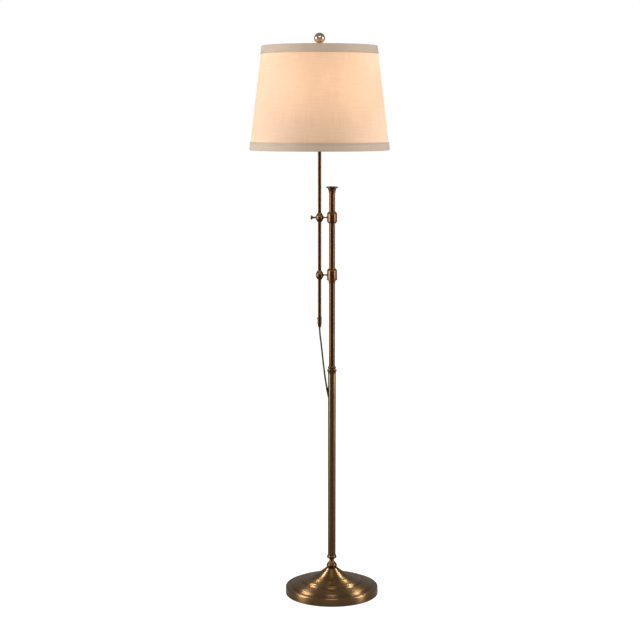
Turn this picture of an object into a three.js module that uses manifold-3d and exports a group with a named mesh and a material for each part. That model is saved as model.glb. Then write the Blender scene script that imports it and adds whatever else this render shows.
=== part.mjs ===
// Pharmacy floor lamp, in millimetres, +Z up. The origin is the middle of the base pad's underside,
// on the pole's axis. The sliding rod stands beside the pole, towards -X.
import * as THREE from 'three';
import { mergeVertices } from 'three/addons/utils/BufferGeometryUtils.js';
import Module from 'manifold-3d';

const wasm = await Module();
wasm.setup();

// Fits
const GAP = 0.3; // between faces that touch
const SEAT = 4; // depth that a cross bar goes into its collar or clamp
const WIRE_WAY = 3.5; // radius of the way for the wires through threaded parts

// Base
const BASE_RADIUS = 138;
const RIM_LIFT = 1; // rim of the cover above the floor
const RIM_TOP = 25;
const RIM_ROUNDING = 5;
const LEDGE_WIDTH = 15.5;
const BAND_WIDTH = 33.5; // raised band between the ledge and the inner dome
const BAND_TOP = 39.2;
const DOME_STEP = 2.2;
const DOME_TOP = 79;
const DOME_TOP_RADIUS = 15.5;
const COVER_WALL = 1.2;
const PAD_THICKNESS = 2;
const PAD_INSET = 10; // pad's edge inside the cover's rim
const WEIGHT_CLEARANCE = 2.8; // weight's edge to the inside of the cover
const WEIGHT_TOP = 18;
const WEIGHT_CONE_RADIUS = 70;
const WEIGHT_CONE_TOP = 50;
const WEIGHT_HUB_RADIUS = 13;
const RECESS_RADIUS = 24;
const RECESS_TOP = 36;
const CHANNEL_WIDTH = 9;
const CHANNEL_HEIGHT = 10;
const CORD_BUSHING_RADIUS = 4.4;
const NIPPLE_RADIUS = 5;
const NIPPLE_BELOW_NUT = 2.5;
const NUT_RADIUS = 10;
const NUT_HEIGHT = 6;
const WASHER_RADIUS = 14;
const WASHER_THICKNESS = 1.5;
const BELL_RADIUS = 15.7;
const BELL_HEIGHT = 25.4;
const WAIST_RADIUS = 6.8;
const BEAD_RADIUS = 14.6;
const BEAD_HEIGHT = 14;

// Pole
const LOWER_TUBE_RADIUS = 11.5;
const LOWER_TUBE_LENGTH = 549.4;
const UPPER_TUBE_RADIUS = 8.75;
const UPPER_TUBE_LENGTH = 506;
const TUBE_WALL = 1;
const INLET_DROP = 43.2; // mouth of the lead's inlet below the top of the lower tube
const BUSH_LENGTH = 20;
const JOINT_LOWER_RADIUS = 14.2;
const JOINT_LOWER_HEIGHT = 13;
const JOINT_UPPER_RADIUS = 12;
const JOINT_UPPER_HEIGHT = 9.7;
const JOINT_WAIST_RADIUS = 10.4;
const CAP_RADIUS = 17;
const CAP_HEIGHT = 19.5;
const CAP_SPIGOT = 12;
const COLLAR_APOTHEM = 14.6;
const COLLAR_SIDES = 8;
const UPPER_COLLAR_HEIGHT = 36;
const LOWER_COLLAR_HEIGHT = 33;
const COLLAR_CHAMFER = 4.2;
const COLLAR_LIP = 2; // round neck on the collar's chamfered ends
const STOP_RING_HEIGHT = 8.7;
const GRUB_RADIUS = 2;
const LOWER_ARM_RISE = 267.7; // lower cross bar above the foot of the upper tube
const ARM_SPACING = 168;
const LOWER_COLLAR_DROP = 15; // foot of the lower collar below its cross bar

// Sliding rod and its clamps
const ROD_OFFSET = 36.4;
const ROD_RADIUS = 4.9;
const ROD_WALL = 1.1;
const ROD_ABOVE = 260; // above the upper cross bar
const ROD_BELOW = 144.7; // below the lower cross bar
const BAR_RADIUS = 1.9;
const CLAMP_APOTHEM = 11;
const CLAMP_HALF_HEIGHT = 13;
const CLAMP_FLAT = 4; // half height of the clamp's widest part
const CLAMP_END_RADIUS = 6.8;
const CLAMP_BUSH_WALL = 0.8;
const SCREW_RADIUS = 2;
const SCREW_HEAD_RADIUS = 6.5;
const SCREW_HEAD_THICKNESS = 3.2;
const SCREW_REACH = 26; // end of the screw's head from the rod's axis
const CLAMP_PAD_THICKNESS = 1.5;
const FERRULE_RADIUS = 6.2;
const FERRULE_HEIGHT = 31;
const FERRULE_MOUTH = 9.5; // height of the tapered mouth below the rod's end
const LEAD_RADIUS = 2.5;

// Socket, harp and bulb
const LOCKNUT_RADIUS = 8;
const LOCKNUT_HEIGHT = 4.3;
const SADDLE_THICKNESS = 1.5;
const SADDLE_LEG_WIDTH = 6;
const SADDLE_EYE_RADIUS = 11;
const THREAD_ABOVE_SADDLE = 11.2; // rod's end above the saddle
const SOCKET_RADIUS = 17.4;
const SOCKET_WALL = 0.8;
const SOCKET_CAP_HEIGHT = 22;
const SOCKET_SHELL_HEIGHT = 47.6;
const LINER_WALL = 0.7;
const SCREW_SHELL_RADIUS = 14;
const SWITCH_RISE = 6; // switch above the foot of the socket shell
const SWITCH_STEM_RADIUS = 2;
const KNOB_WIDTH = 12;
const KNOB_REACH = 38;
const HARP_FOOT = 24; // half the distance between the harp's feet
const HARP_HALF_WIDTH = 56;
const HARP_HEIGHT = 226; // saddle to the top of the bow
const HARP_WIRE_RADIUS = 1.8;
const SADDLE_LEG_HEIGHT = 15;
const SLEEVE_LENGTH = 13;
const SLEEVE_WALL = 0.9;
const BULB_CAP_RADIUS = 13;
const BULB_CAP_HEIGHT = 24;
const BULB_RADIUS = 30;
const BULB_HEIGHT = 82;
const GLASS_WALL = 1;
const STUD_RADIUS = 3.2;
const STUD_FLANGE_RADIUS = 8;
const STUD_FLANGE_HEIGHT = 4.4;

// Shade and finial
const SHADE_HEIGHT = 297;
const SHADE_TOP_RADIUS = 163.4;
const SHADE_BOTTOM_RADIUS = 203.2;
const TRIM_HEIGHT = 24;
const TRIM_TURN_IN = 9; // height of the trim's inner leaf
const CLOTH = 0.8;
const LINER_SHEET = 0.9;
const RING_WIRE_RADIUS = 1.6;
const SPIDER_DROP = 10; // spider's hub below the shade's top edge
const SPIDER_ARMS = 3;
const SPIDER_WIRE_RADIUS = 1.5;
const HUB_RADIUS = 12;
const HUB_THICKNESS = 2;
const FINIAL_BALL_RADIUS = 15.8;
const FINIAL_NECK_HEIGHT = 16;

// How finely round things are divided
const SMALL = 10;
const MEDIUM = 16;
const LARGE = 36;
const CORNER_STEPS = 2;

// Finishes
const antiqueBrass = { color: 0x6e4d26, roughness: 0.36, metalness: 1 };
const spunBrass = { color: 0x7a5730, roughness: 0.32, metalness: 1 };
const brightBrass = { color: 0xa8854e, roughness: 0.25, metalness: 1 };
const polishedNickel = { color: 0xb9aa9a, roughness: 0.12, metalness: 1 };
const zincSteel = { color: 0x9c9a94, roughness: 0.4, metalness: 1 };
const castIron = { color: 0x2e2c2a, roughness: 0.8, metalness: 0.6 };
const felt = { color: 0x20201f, roughness: 0.95, metalness: 0 };
const blackRubber = { color: 0x191919, roughness: 0.6, metalness: 0 };
const leadSheath = { color: 0x33363a, roughness: 0.5, metalness: 0 };
const phenolic = { color: 0x17130f, roughness: 0.35, metalness: 0 };
const fibreboard = { color: 0x8a8278, roughness: 0.9, metalness: 0 };
const frostedGlass = { color: 0xfff2dc, roughness: 0.5, metalness: 0 };
const linen = { color: 0xe9d8bf, roughness: 0.9, metalness: 0 };
const linerSheet = { color: 0xf3e9d8, roughness: 0.5, metalness: 0 };
const trimCloth = { color: 0xcdbfae, roughness: 0.9, metalness: 0 };

// Heights that follow from the sizes above
const weightBottom = PAD_THICKNESS + GAP;
const washerTop = RECESS_TOP - GAP;
const nutTop = washerTop - WASHER_THICKNESS - GAP;
const bellBottom = DOME_TOP + GAP;
const beadBottom = bellBottom + BELL_HEIGHT + GAP;
const lowerTubeBottom = beadBottom + BEAD_HEIGHT + GAP;
const lowerTubeTop = lowerTubeBottom + LOWER_TUBE_LENGTH;
const jointLowerBottom = lowerTubeTop + GAP;
const jointUpperBottom = jointLowerBottom + JOINT_LOWER_HEIGHT + GAP;
const upperTubeBottom = jointUpperBottom + JOINT_UPPER_HEIGHT + GAP;
const upperTubeTop = upperTubeBottom + UPPER_TUBE_LENGTH;
const lowerArm = upperTubeBottom + LOWER_ARM_RISE;
const upperArm = lowerArm + ARM_SPACING;
const rodBottom = lowerArm - ROD_BELOW;
const rodTop = upperArm + ROD_ABOVE;
const saddleTop = rodTop - THREAD_ABOVE_SADDLE;
const saddleBottom = saddleTop - SADDLE_THICKNESS;
const socketCapBottom = saddleTop + GAP;
const shellBottom = socketCapBottom + SOCKET_CAP_HEIGHT + GAP;
const shellTop = shellBottom + SOCKET_SHELL_HEIGHT;
const harpTop = saddleTop + HARP_HEIGHT;
const flangeBottom = harpTop + GAP;
const hubBottom = flangeBottom + STUD_FLANGE_HEIGHT + GAP;
const hubTop = hubBottom + HUB_THICKNESS;
const shadeTop = hubTop + SPIDER_DROP;
const shadeBottom = shadeTop - SHADE_HEIGHT;

// Outline points from [radius, height, rounding] corners. A rounding is the length that the
// rounded corner takes from each side of it.
function outline(corners) {
  const count = corners.length;
  return corners.flatMap(([radius, height, rounding], i) => {
    const here = new THREE.Vector2(radius, height);
    if (!rounding) return [here];
    const [before, after] = [corners[(i + count - 1) % count], corners[(i + 1) % count]]
      .map(([r, z]) => new THREE.Vector2(r, z).sub(here).setLength(rounding).add(here));
    return new THREE.QuadraticBezierCurve(before, here, after).getPoints(CORNER_STEPS);
  });
}

// A turned piece. Its corners run up the outside. They start and end on the axis, or they close.
function turned(corners, sides = MEDIUM, turn = 0) {
  const points = outline(corners);
  if (points[0].x > 0) points.push(points[0].clone());
  return new THREE.LatheGeometry(points, sides, turn).rotateX(Math.PI / 2);
}

function tube(outer, inner, bottom, top, sides = MEDIUM) {
  return turned([[outer, bottom], [outer, top], [inner, top], [inner, bottom]], sides);
}

function pin(radius, bottom, top, sides = SMALL) {
  return turned([[0, bottom], [radius, bottom], [radius, top], [0, top]], sides);
}

// The same piece lying along X, with what was up now towards +X or -X.
const towardsPole = (geometry) => geometry.rotateY(Math.PI / 2);
const awayFromPole = (geometry) => geometry.rotateY(-Math.PI / 2);
const towardsBack = (geometry) => geometry.rotateX(-Math.PI / 2);

// A wire or cord of round section along a curve.
function strand(curve, radius, steps, sides = 8) {
  const section = new THREE.Shape();
  section.absarc(0, 0, radius, 0, 2 * Math.PI);
  return new THREE.ExtrudeGeometry(section, { extrudePath: curve, steps, curveSegments: sides / 2 });
}

function toSolid(geometry) {
  const bare = geometry.clone();
  bare.deleteAttribute('normal');
  bare.deleteAttribute('uv');
  const merged = mergeVertices(bare, 1e-4);
  const corners = merged.index.array;
  const kept = [];
  for (let i = 0; i < corners.length; i += 3) {
    const [a, b, c] = corners.slice(i, i + 3);
    if (a !== b && b !== c && c !== a) kept.push(a, b, c);
  }
  return new wasm.Manifold(new wasm.Mesh({
    numProp: 3,
    vertProperties: new Float32Array(merged.attributes.position.array),
    triVerts: new Uint32Array(kept),
  }));
}

function toGeometry(solid) {
  const mesh = solid.getMesh();
  const geometry = new THREE.BufferGeometry();
  geometry.setAttribute('position', new THREE.BufferAttribute(mesh.vertProperties, 3));
  return geometry.setIndex(new THREE.BufferAttribute(mesh.triVerts, 1));
}

function cut(body, ...tools) {
  return toGeometry(tools.reduce((solid, tool) => solid.subtract(toSolid(tool)), toSolid(body)));
}

function join(...bodies) {
  return toGeometry(bodies.map(toSolid).reduce((whole, body) => whole.add(body)));
}

const lamp = new THREE.Group();
const besidePole = new THREE.Group(); // everything on the rod's axis
besidePole.position.x = -ROD_OFFSET;
lamp.add(besidePole);

function add(name, geometry, finish, group = lamp) {
  const mesh = new THREE.Mesh(geometry, new THREE.MeshStandardMaterial(finish));
  mesh.name = name;
  group.add(mesh);
}

// Base: the felt pad, the cast weight with its recess and cord channel, and the spun cover.
const channelMiddle = weightBottom + CHANNEL_HEIGHT / 2;
const coverInside = BASE_RADIUS - COVER_WALL;
const weightRadius = coverInside - WEIGHT_CLEARANCE;
const ledgeInner = BASE_RADIUS - LEDGE_WIDTH;
const bandInner = ledgeInner - BAND_WIDTH;
const bandRise = BAND_TOP - RIM_TOP;
const domeFoot = BAND_TOP + DOME_STEP + 1;
const sheet = COVER_WALL * 1.5; // the cover's wall, measured upright where it slopes
const weightTop = DOME_TOP - sheet - GAP;

// Ogee of the inner dome, from its foot up to the land under the neck. It keeps its shape when
// the foot or the top moves.
function ogee(drop) {
  const run = bandInner - 5 - DOME_TOP_RADIUS;
  const rise = DOME_TOP - domeFoot;
  const curve = new THREE.CubicBezierCurve(
    new THREE.Vector2(DOME_TOP_RADIUS + run, domeFoot - drop),
    new THREE.Vector2(DOME_TOP_RADIUS + run * 0.62, domeFoot + rise * 0.19 - drop),
    new THREE.Vector2(DOME_TOP_RADIUS + run * 0.22, domeFoot + rise * 0.56 - drop),
    new THREE.Vector2(DOME_TOP_RADIUS, DOME_TOP - drop),
  );
  return curve.getPoints(6).map(({ x, y }) => [x, y]);
}

const coverOutside = [
  [BASE_RADIUS, RIM_LIFT],
  [BASE_RADIUS, RIM_TOP, RIM_ROUNDING],
  [ledgeInner + 2, RIM_TOP + 0.6],
  [ledgeInner, RIM_TOP + 0.6],
  [ledgeInner - 1, RIM_TOP + bandRise * 0.2],
  [ledgeInner - 6, RIM_TOP + bandRise * 0.46],
  [ledgeInner - 14, RIM_TOP + bandRise * 0.66],
  [bandInner + 1, BAND_TOP],
  [bandInner, BAND_TOP + DOME_STEP],
  ...ogee(0),
];
const coverUnderside = [
  [NIPPLE_RADIUS + GAP, DOME_TOP],
  [NIPPLE_RADIUS + GAP, DOME_TOP - sheet],
  ...ogee(sheet).reverse(),
  [bandInner - 1, BAND_TOP - sheet / 2],
  [ledgeInner - 14, RIM_TOP + bandRise * 0.66 - sheet],
  [ledgeInner - 7, RIM_TOP + bandRise * 0.4 - sheet],
  [ledgeInner - 3, RIM_TOP - COVER_WALL],
  [coverInside, RIM_TOP - COVER_WALL, RIM_ROUNDING - COVER_WALL],
  [coverInside, RIM_LIFT],
];
const cordHole = towardsBack(pin(CORD_BUSHING_RADIUS + GAP, coverInside - 10, BASE_RADIUS + 10))
  .translate(0, 0, channelMiddle);
add('base_cover', cut(turned([...coverOutside, ...coverUnderside], LARGE), cordHole), spunBrass);

add('base_pad', pin(BASE_RADIUS - PAD_INSET, 0, PAD_THICKNESS, LARGE), felt);

const channelLength = weightRadius + 5;
const channel = new THREE.BoxGeometry(CHANNEL_WIDTH, channelLength, CHANNEL_HEIGHT)
  .translate(0, channelLength / 2, weightBottom + CHANNEL_HEIGHT / 2 - GAP);
const weight = turned([
  [NIPPLE_RADIUS + GAP, RECESS_TOP],
  [RECESS_RADIUS, RECESS_TOP],
  [RECESS_RADIUS, weightBottom],
  [weightRadius, weightBottom],
  [weightRadius, WEIGHT_TOP, 4],
  [WEIGHT_CONE_RADIUS, WEIGHT_TOP],
  [WEIGHT_HUB_RADIUS * 2, WEIGHT_CONE_TOP],
  [WEIGHT_HUB_RADIUS, WEIGHT_CONE_TOP],
  [WEIGHT_HUB_RADIUS, weightTop],
  [NIPPLE_RADIUS + GAP, weightTop],
], LARGE);
add('base_weight', cut(weight, channel), castIron);

const nippleBore = pin(NIPPLE_RADIUS + GAP, nutTop - NUT_HEIGHT - 1, nutTop + 1, MEDIUM);
const hexNut = turned([
  [0, nutTop - NUT_HEIGHT], [NUT_RADIUS, nutTop - NUT_HEIGHT], [NUT_RADIUS, nutTop], [0, nutTop],
], 6);
add('base_nut', cut(hexNut, nippleBore), zincSteel);
add('base_washer',
  tube(WASHER_RADIUS, NIPPLE_RADIUS + GAP, washerTop - WASHER_THICKNESS, washerTop), zincSteel);

const nippleTop = lowerTubeBottom + BUSH_LENGTH - 2;
const nippleFoot = nutTop - NUT_HEIGHT - NIPPLE_BELOW_NUT;
add('base_nipple', tube(NIPPLE_RADIUS, WIRE_WAY, nippleFoot, nippleTop), zincSteel);

const bushingFlange = CORD_BUSHING_RADIUS + 1.8;
const bushing = turned([
  [LEAD_RADIUS + GAP, coverInside - 3],
  [CORD_BUSHING_RADIUS, coverInside - 3],
  [CORD_BUSHING_RADIUS, BASE_RADIUS + GAP],
  [bushingFlange, BASE_RADIUS + GAP],
  [bushingFlange, BASE_RADIUS + 2, 1],
  [LEAD_RADIUS + GAP, BASE_RADIUS + 3],
], SMALL);
add('cord_bushing', towardsBack(bushing).translate(0, 0, channelMiddle), blackRubber);

// Neck between the base and the pole: a bell and a bead on the nipple.
add('neck_bell', turned([
  [NIPPLE_RADIUS + GAP, bellBottom],
  [BELL_RADIUS - 1.2, bellBottom],
  [BELL_RADIUS - 1.2, bellBottom + 2.5],
  [BELL_RADIUS, bellBottom + 6, 2],
  [BELL_RADIUS - 1, bellBottom + 10, 2],
  [WAIST_RADIUS + 3.2, bellBottom + 15.5, 2],
  [WAIST_RADIUS, bellBottom + 21, 2],
  [WAIST_RADIUS, bellBottom + BELL_HEIGHT],
  [NIPPLE_RADIUS + GAP, bellBottom + BELL_HEIGHT],
]), antiqueBrass);

const beadTop = beadBottom + BEAD_HEIGHT;
add('neck_bead', turned([
  [NIPPLE_RADIUS + GAP, beadBottom],
  [WAIST_RADIUS + 1.5, beadBottom],
  [WAIST_RADIUS + 2, beadBottom + 1.5],
  [BEAD_RADIUS, beadBottom + 3, 2.4],
  [BEAD_RADIUS, beadTop - 4, 2.4],
  [LOWER_TUBE_RADIUS + 0.6, beadTop - 2],
  [LOWER_TUBE_RADIUS + 0.6, beadTop],
  [NIPPLE_RADIUS + GAP, beadTop],
]), antiqueBrass);

// Lower tube, with the bush that the nipple screws into and a slanting inlet for the lead.
const lowerTubeInside = LOWER_TUBE_RADIUS - TUBE_WALL;
const upperTubeInside = UPPER_TUBE_RADIUS - TUBE_WALL;
add('foot_bush', tube(lowerTubeInside - GAP, NIPPLE_RADIUS + GAP, lowerTubeBottom,
  lowerTubeBottom + BUSH_LENGTH), brightBrass);

// Route of the lead, from the mouth of the rod's ferrule to the inside of the lower tube.
const leadRoute = [
  [-36.4, 805.7], [-35.6, 790], [-33.4, 770], [-31.0, 750], [-28.6, 728], [-26.2, 706],
  [-23.7, 684], [-20.9, 662], [-17.7, 640], [-14.5, 622.5], [-11.1, 606], [-8.1, 592],
].map(([x, z]) => new THREE.Vector3(x, 0, z));
const inletFrom = new THREE.Vector3(-LOWER_TUBE_RADIUS - 3.6, 0, lowerTubeTop - INLET_DROP);
const inletTo = inletFrom.clone().add(new THREE.Vector3(5.9, 0, -28.5));
const INLET_RADIUS = LEAD_RADIUS + GAP + 0.8;

// A straight round piece between two points.
function between(from, to, outer, inner, sides = SMALL) {
  const length = from.distanceTo(to);
  const piece = inner ? tube(outer, inner, 0, length, sides) : pin(outer, 0, length, sides);
  const turn = new THREE.Quaternion().setFromUnitVectors(
    new THREE.Vector3(0, 0, 1), to.clone().sub(from).normalize(),
  );
  return piece.applyQuaternion(turn).translate(from.x, from.y, from.z);
}
const inletHole = between(inletFrom, inletTo.clone().lerp(inletFrom, -0.5), INLET_RADIUS + GAP, 0);
const lowerTube = tube(LOWER_TUBE_RADIUS, lowerTubeInside, lowerTubeBottom, lowerTubeTop);
add('lower_tube', cut(lowerTube, inletHole), antiqueBrass);
add('inlet_grommet', between(inletFrom, inletTo, INLET_RADIUS, LEAD_RADIUS + GAP), blackRubber);

// Joint between the tubes: two turned rings over a stepped coupling.
const couplingBore = NIPPLE_RADIUS + GAP;
const jointUpperTop = jointUpperBottom + JOINT_UPPER_HEIGHT;
add('joint_ring_lower', turned([
  [couplingBore, jointLowerBottom],
  [LOWER_TUBE_RADIUS, jointLowerBottom],
  [LOWER_TUBE_RADIUS + 0.6, jointLowerBottom + 4],
  [JOINT_LOWER_RADIUS, jointLowerBottom + 7, 1.4],
  [JOINT_LOWER_RADIUS, jointLowerBottom + 10, 1.4],
  [JOINT_WAIST_RADIUS, jointLowerBottom + 11.5],
  [JOINT_WAIST_RADIUS, jointLowerBottom + JOINT_LOWER_HEIGHT],
  [couplingBore, jointLowerBottom + JOINT_LOWER_HEIGHT],
]), antiqueBrass);
add('joint_ring_upper', turned([
  [couplingBore, jointUpperBottom],
  [JOINT_WAIST_RADIUS, jointUpperBottom],
  [JOINT_UPPER_RADIUS, jointUpperBottom + 2.4, 1],
  [JOINT_UPPER_RADIUS, jointUpperBottom + 5, 1],
  [UPPER_TUBE_RADIUS + 0.8, jointUpperBottom + 7],
  [UPPER_TUBE_RADIUS + 0.4, jointUpperTop],
  [couplingBore, jointUpperTop],
]), antiqueBrass);
add('pole_coupling', turned([
  [WIRE_WAY, lowerTubeTop - BUSH_LENGTH],
  [lowerTubeInside - GAP, lowerTubeTop - BUSH_LENGTH],
  [lowerTubeInside - GAP, lowerTubeTop],
  [NIPPLE_RADIUS, lowerTubeTop],
  [NIPPLE_RADIUS, upperTubeBottom],
  [upperTubeInside - GAP, upperTubeBottom],
  [upperTubeInside - GAP, upperTubeBottom + BUSH_LENGTH],
  [WIRE_WAY, upperTubeBottom + BUSH_LENGTH],
]), brightBrass);

// Upper tube and its flared cap.
add('upper_tube',
  tube(UPPER_TUBE_RADIUS, upperTubeInside, upperTubeBottom, upperTubeTop), antiqueBrass);
const capBottom = upperTubeTop + GAP;
const capTop = capBottom + CAP_HEIGHT;
add('pole_cap', turned([
  [0, capBottom - CAP_SPIGOT],
  [upperTubeInside - GAP, capBottom - CAP_SPIGOT],
  [upperTubeInside - GAP, capBottom],
  [UPPER_TUBE_RADIUS + 0.8, capBottom],
  [UPPER_TUBE_RADIUS + 1.1, capBottom + 4],
  [UPPER_TUBE_RADIUS + 2.6, capBottom + 11],
  [UPPER_TUBE_RADIUS + 3.4, capTop - 5.6],
  [CAP_RADIUS, capTop - 4.6],
  [CAP_RADIUS, capTop - 0.6, 0.4],
  [CAP_RADIUS - 2, capTop],
  [0, capTop],
]), antiqueBrass);

// Collars on the upper tube. Each has flat sides, a round neck on its chamfered end, a blind hole
// for its cross bar and a tapped hole for its grub screw.
const perFlat = Math.cos(Math.PI / COLLAR_SIDES); // flat to corner radius
const collarRadius = COLLAR_APOTHEM / perFlat;
const collarBore = UPPER_TUBE_RADIUS + GAP;
const neckRadius = UPPER_TUBE_RADIUS + 1.6;
const facetTurn = Math.PI / COLLAR_SIDES; // puts a flat side to the front

function collar(bottom, top, arm, chamferedFoot) {
  const foot = chamferedFoot
    ? [[collarRadius - COLLAR_CHAMFER, bottom], [collarRadius, bottom + COLLAR_CHAMFER]]
    : [[collarRadius, bottom]];
  const block = turned([
    [0, bottom], ...foot,
    [collarRadius, top - COLLAR_CHAMFER], [collarRadius - COLLAR_CHAMFER, top], [0, top],
  ], COLLAR_SIDES, facetTurn);
  const necks = pin(neckRadius, chamferedFoot ? bottom - COLLAR_LIP : bottom + 1, top + COLLAR_LIP,
    MEDIUM);
  const bore = pin(collarBore, bottom - 20, top + 20, MEDIUM);
  const barHole = towardsPole(pin(BAR_RADIUS + GAP, -COLLAR_APOTHEM - 5, -COLLAR_APOTHEM + SEAT + GAP));
  const grubHole = towardsBack(pin(GRUB_RADIUS + GAP, UPPER_TUBE_RADIUS, COLLAR_APOTHEM + 5));
  return cut(join(block, necks), bore, barHole.translate(0, 0, arm), grubHole.translate(0, 0, arm));
}

function grubScrew(arm) {
  return towardsBack(pin(GRUB_RADIUS, UPPER_TUBE_RADIUS + GAP, COLLAR_APOTHEM - 0.6, 12))
    .translate(0, 0, arm);
}
const upperCollarBottom = upperArm - UPPER_COLLAR_HEIGHT / 2 + COLLAR_LIP;
const upperCollarTop = upperArm + UPPER_COLLAR_HEIGHT / 2 - COLLAR_LIP;
const lowerCollarBottom = lowerArm - LOWER_COLLAR_DROP;
add('upper_collar', collar(upperCollarBottom, upperCollarTop, upperArm, true), antiqueBrass);
add('lower_collar',
  collar(lowerCollarBottom, lowerCollarBottom + LOWER_COLLAR_HEIGHT, lowerArm, false), antiqueBrass);
add('collar_screw_upper', grubScrew(upperArm), zincSteel);
add('collar_screw_lower', grubScrew(lowerArm), zincSteel);
add('lower_stop_ring', turned([
  [collarBore, lowerCollarBottom - GAP - STOP_RING_HEIGHT],
  [neckRadius - 0.8, lowerCollarBottom - GAP - STOP_RING_HEIGHT],
  [neckRadius - 0.4, lowerCollarBottom - GAP - STOP_RING_HEIGHT / 2],
  [neckRadius, lowerCollarBottom - GAP],
  [collarBore, lowerCollarBottom - GAP],
]), antiqueBrass);

// Rod clamps and the cross bars that hold them off the collars.
const clampRadius = CLAMP_APOTHEM / perFlat;
const rodBore = ROD_RADIUS + GAP;
const bushOuter = rodBore + CLAMP_BUSH_WALL;

function clamp(arm, bore, ...holes) {
  const block = turned([
    [0, arm - CLAMP_HALF_HEIGHT],
    [CLAMP_END_RADIUS, arm - CLAMP_HALF_HEIGHT],
    [clampRadius, arm - CLAMP_FLAT, 3],
    [clampRadius, arm + CLAMP_FLAT, 3],
    [CLAMP_END_RADIUS, arm + CLAMP_HALF_HEIGHT],
    [0, arm + CLAMP_HALF_HEIGHT],
  ], COLLAR_SIDES, facetTurn);
  const barHole = towardsPole(pin(BAR_RADIUS + GAP, CLAMP_APOTHEM - SEAT - GAP, CLAMP_APOTHEM + 5))
    .translate(0, 0, arm);
  return cut(block, pin(bore, arm - 30, arm + 30, MEDIUM), barHole, ...holes);
}

function crossBar(arm) {
  const collarFace = ROD_OFFSET - COLLAR_APOTHEM;
  return towardsPole(pin(BAR_RADIUS, CLAMP_APOTHEM - SEAT, collarFace + SEAT)).translate(0, 0, arm);
}
const screwHole = awayFromPole(pin(SCREW_RADIUS + GAP, ROD_RADIUS, CLAMP_APOTHEM + 5))
  .translate(0, 0, upperArm);
add('upper_clamp', clamp(upperArm, rodBore, screwHole), antiqueBrass, besidePole);
add('lower_clamp', clamp(lowerArm, bushOuter + GAP), antiqueBrass, besidePole);
add('lower_bush',
  tube(bushOuter, rodBore, lowerArm - CLAMP_HALF_HEIGHT, lowerArm + CLAMP_HALF_HEIGHT),
  brightBrass, besidePole);
add('upper_bar', crossBar(upperArm), antiqueBrass, besidePole);
add('lower_bar', crossBar(lowerArm), antiqueBrass, besidePole);

const padFace = rodBore + CLAMP_PAD_THICKNESS;
add('clamp_pad', awayFromPole(pin(SCREW_RADIUS, rodBore, padFace, 12)).translate(0, 0, upperArm),
  brightBrass, besidePole);
add('thumb_screw', awayFromPole(turned([
  [0, padFace + GAP],
  [SCREW_RADIUS, padFace + GAP],
  [SCREW_RADIUS, CLAMP_APOTHEM + 1],
  [SCREW_RADIUS + 0.7, CLAMP_APOTHEM + 2],
  [SCREW_RADIUS + 0.4, SCREW_REACH - SCREW_HEAD_THICKNESS - 4],
  [SCREW_HEAD_RADIUS, SCREW_REACH - SCREW_HEAD_THICKNESS],
  [SCREW_HEAD_RADIUS, SCREW_REACH - 0.8],
  [SCREW_HEAD_RADIUS - 0.8, SCREW_REACH],
  [0, SCREW_REACH],
], SMALL)).translate(0, 0, upperArm), antiqueBrass, besidePole);

// Rod, its ferrule and the lead that hangs out of it.
add('rod', tube(ROD_RADIUS, ROD_RADIUS - ROD_WALL, rodBottom, rodTop), antiqueBrass, besidePole);
const mouth = rodBottom - FERRULE_MOUTH;
const ferruleTop = mouth + FERRULE_HEIGHT;
const ferruleScrewHeight = ferruleTop - 5;
const ferrule = turned([
  [LEAD_RADIUS + GAP, mouth],
  [LEAD_RADIUS + 1.6, mouth],
  [FERRULE_RADIUS, mouth + 12, 2],
  [FERRULE_RADIUS, ferruleTop, 1.2],
  [rodBore, ferruleTop],
  [rodBore, rodBottom - GAP],
  [LEAD_RADIUS + GAP, rodBottom - GAP],
]);
const ferruleHole = awayFromPole(pin(1.5, ROD_RADIUS, FERRULE_RADIUS + 5, 12))
  .translate(0, 0, ferruleScrewHeight);
add('rod_ferrule', cut(ferrule, ferruleHole), antiqueBrass, besidePole);
add('ferrule_screw', awayFromPole(turned([
  [0, rodBore], [1.2, rodBore], [1.2, FERRULE_RADIUS + GAP], [2, FERRULE_RADIUS + GAP],
  [2, FERRULE_RADIUS + 1.8], [0, FERRULE_RADIUS + 1.8],
], 12)).translate(0, 0, ferruleScrewHeight), brightBrass, besidePole);
add('lead', strand(new THREE.CatmullRomCurve3(leadRoute), LEAD_RADIUS, 24), leadSheath);
add('rod_lead', pin(LEAD_RADIUS, mouth, rodTop + 6, 8), leadSheath, besidePole);

// The lead inside the pole, down through the nipple and out along the channel to the bushing.
const poleLeadRoute = [
  [0, inletTo.x + 1.2, inletTo.z - 5.7], [0, -4.6, inletTo.z - 22], [0, -1.6, inletTo.z - 41],
  [0, 0, inletTo.z - 67], [0, 0, inletTo.z - 197], [0, 0, inletTo.z - 337],
  [0, 0, 130], [0, 0, nippleFoot + 6], [0, 0, nippleFoot], [1.5, 0, nippleFoot - 6],
  [5.5, 0, nippleFoot - 12.5], [12, 0, channelMiddle + 1], [20, 0, channelMiddle],
  [40, 0, channelMiddle], [80, 0, channelMiddle], [coverInside, 0, channelMiddle],
].map(([back, x, z]) => new THREE.Vector3(x, back, z));
add('pole_lead', strand(new THREE.CatmullRomCurve3(poleLeadRoute, false, 'centripetal'),
  LEAD_RADIUS, 60), leadSheath);

// Locknut and harp saddle on the rod's threaded end.
const locknutTop = saddleBottom - GAP;
const locknut = turned([
  [0, locknutTop - LOCKNUT_HEIGHT], [LOCKNUT_RADIUS, locknutTop - LOCKNUT_HEIGHT],
  [LOCKNUT_RADIUS, locknutTop], [0, locknutTop],
], 6);
const rodHole = pin(rodBore, locknutTop - 20, saddleTop + 20, MEDIUM);
add('rod_locknut', cut(locknut, rodHole), antiqueBrass, besidePole);

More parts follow.
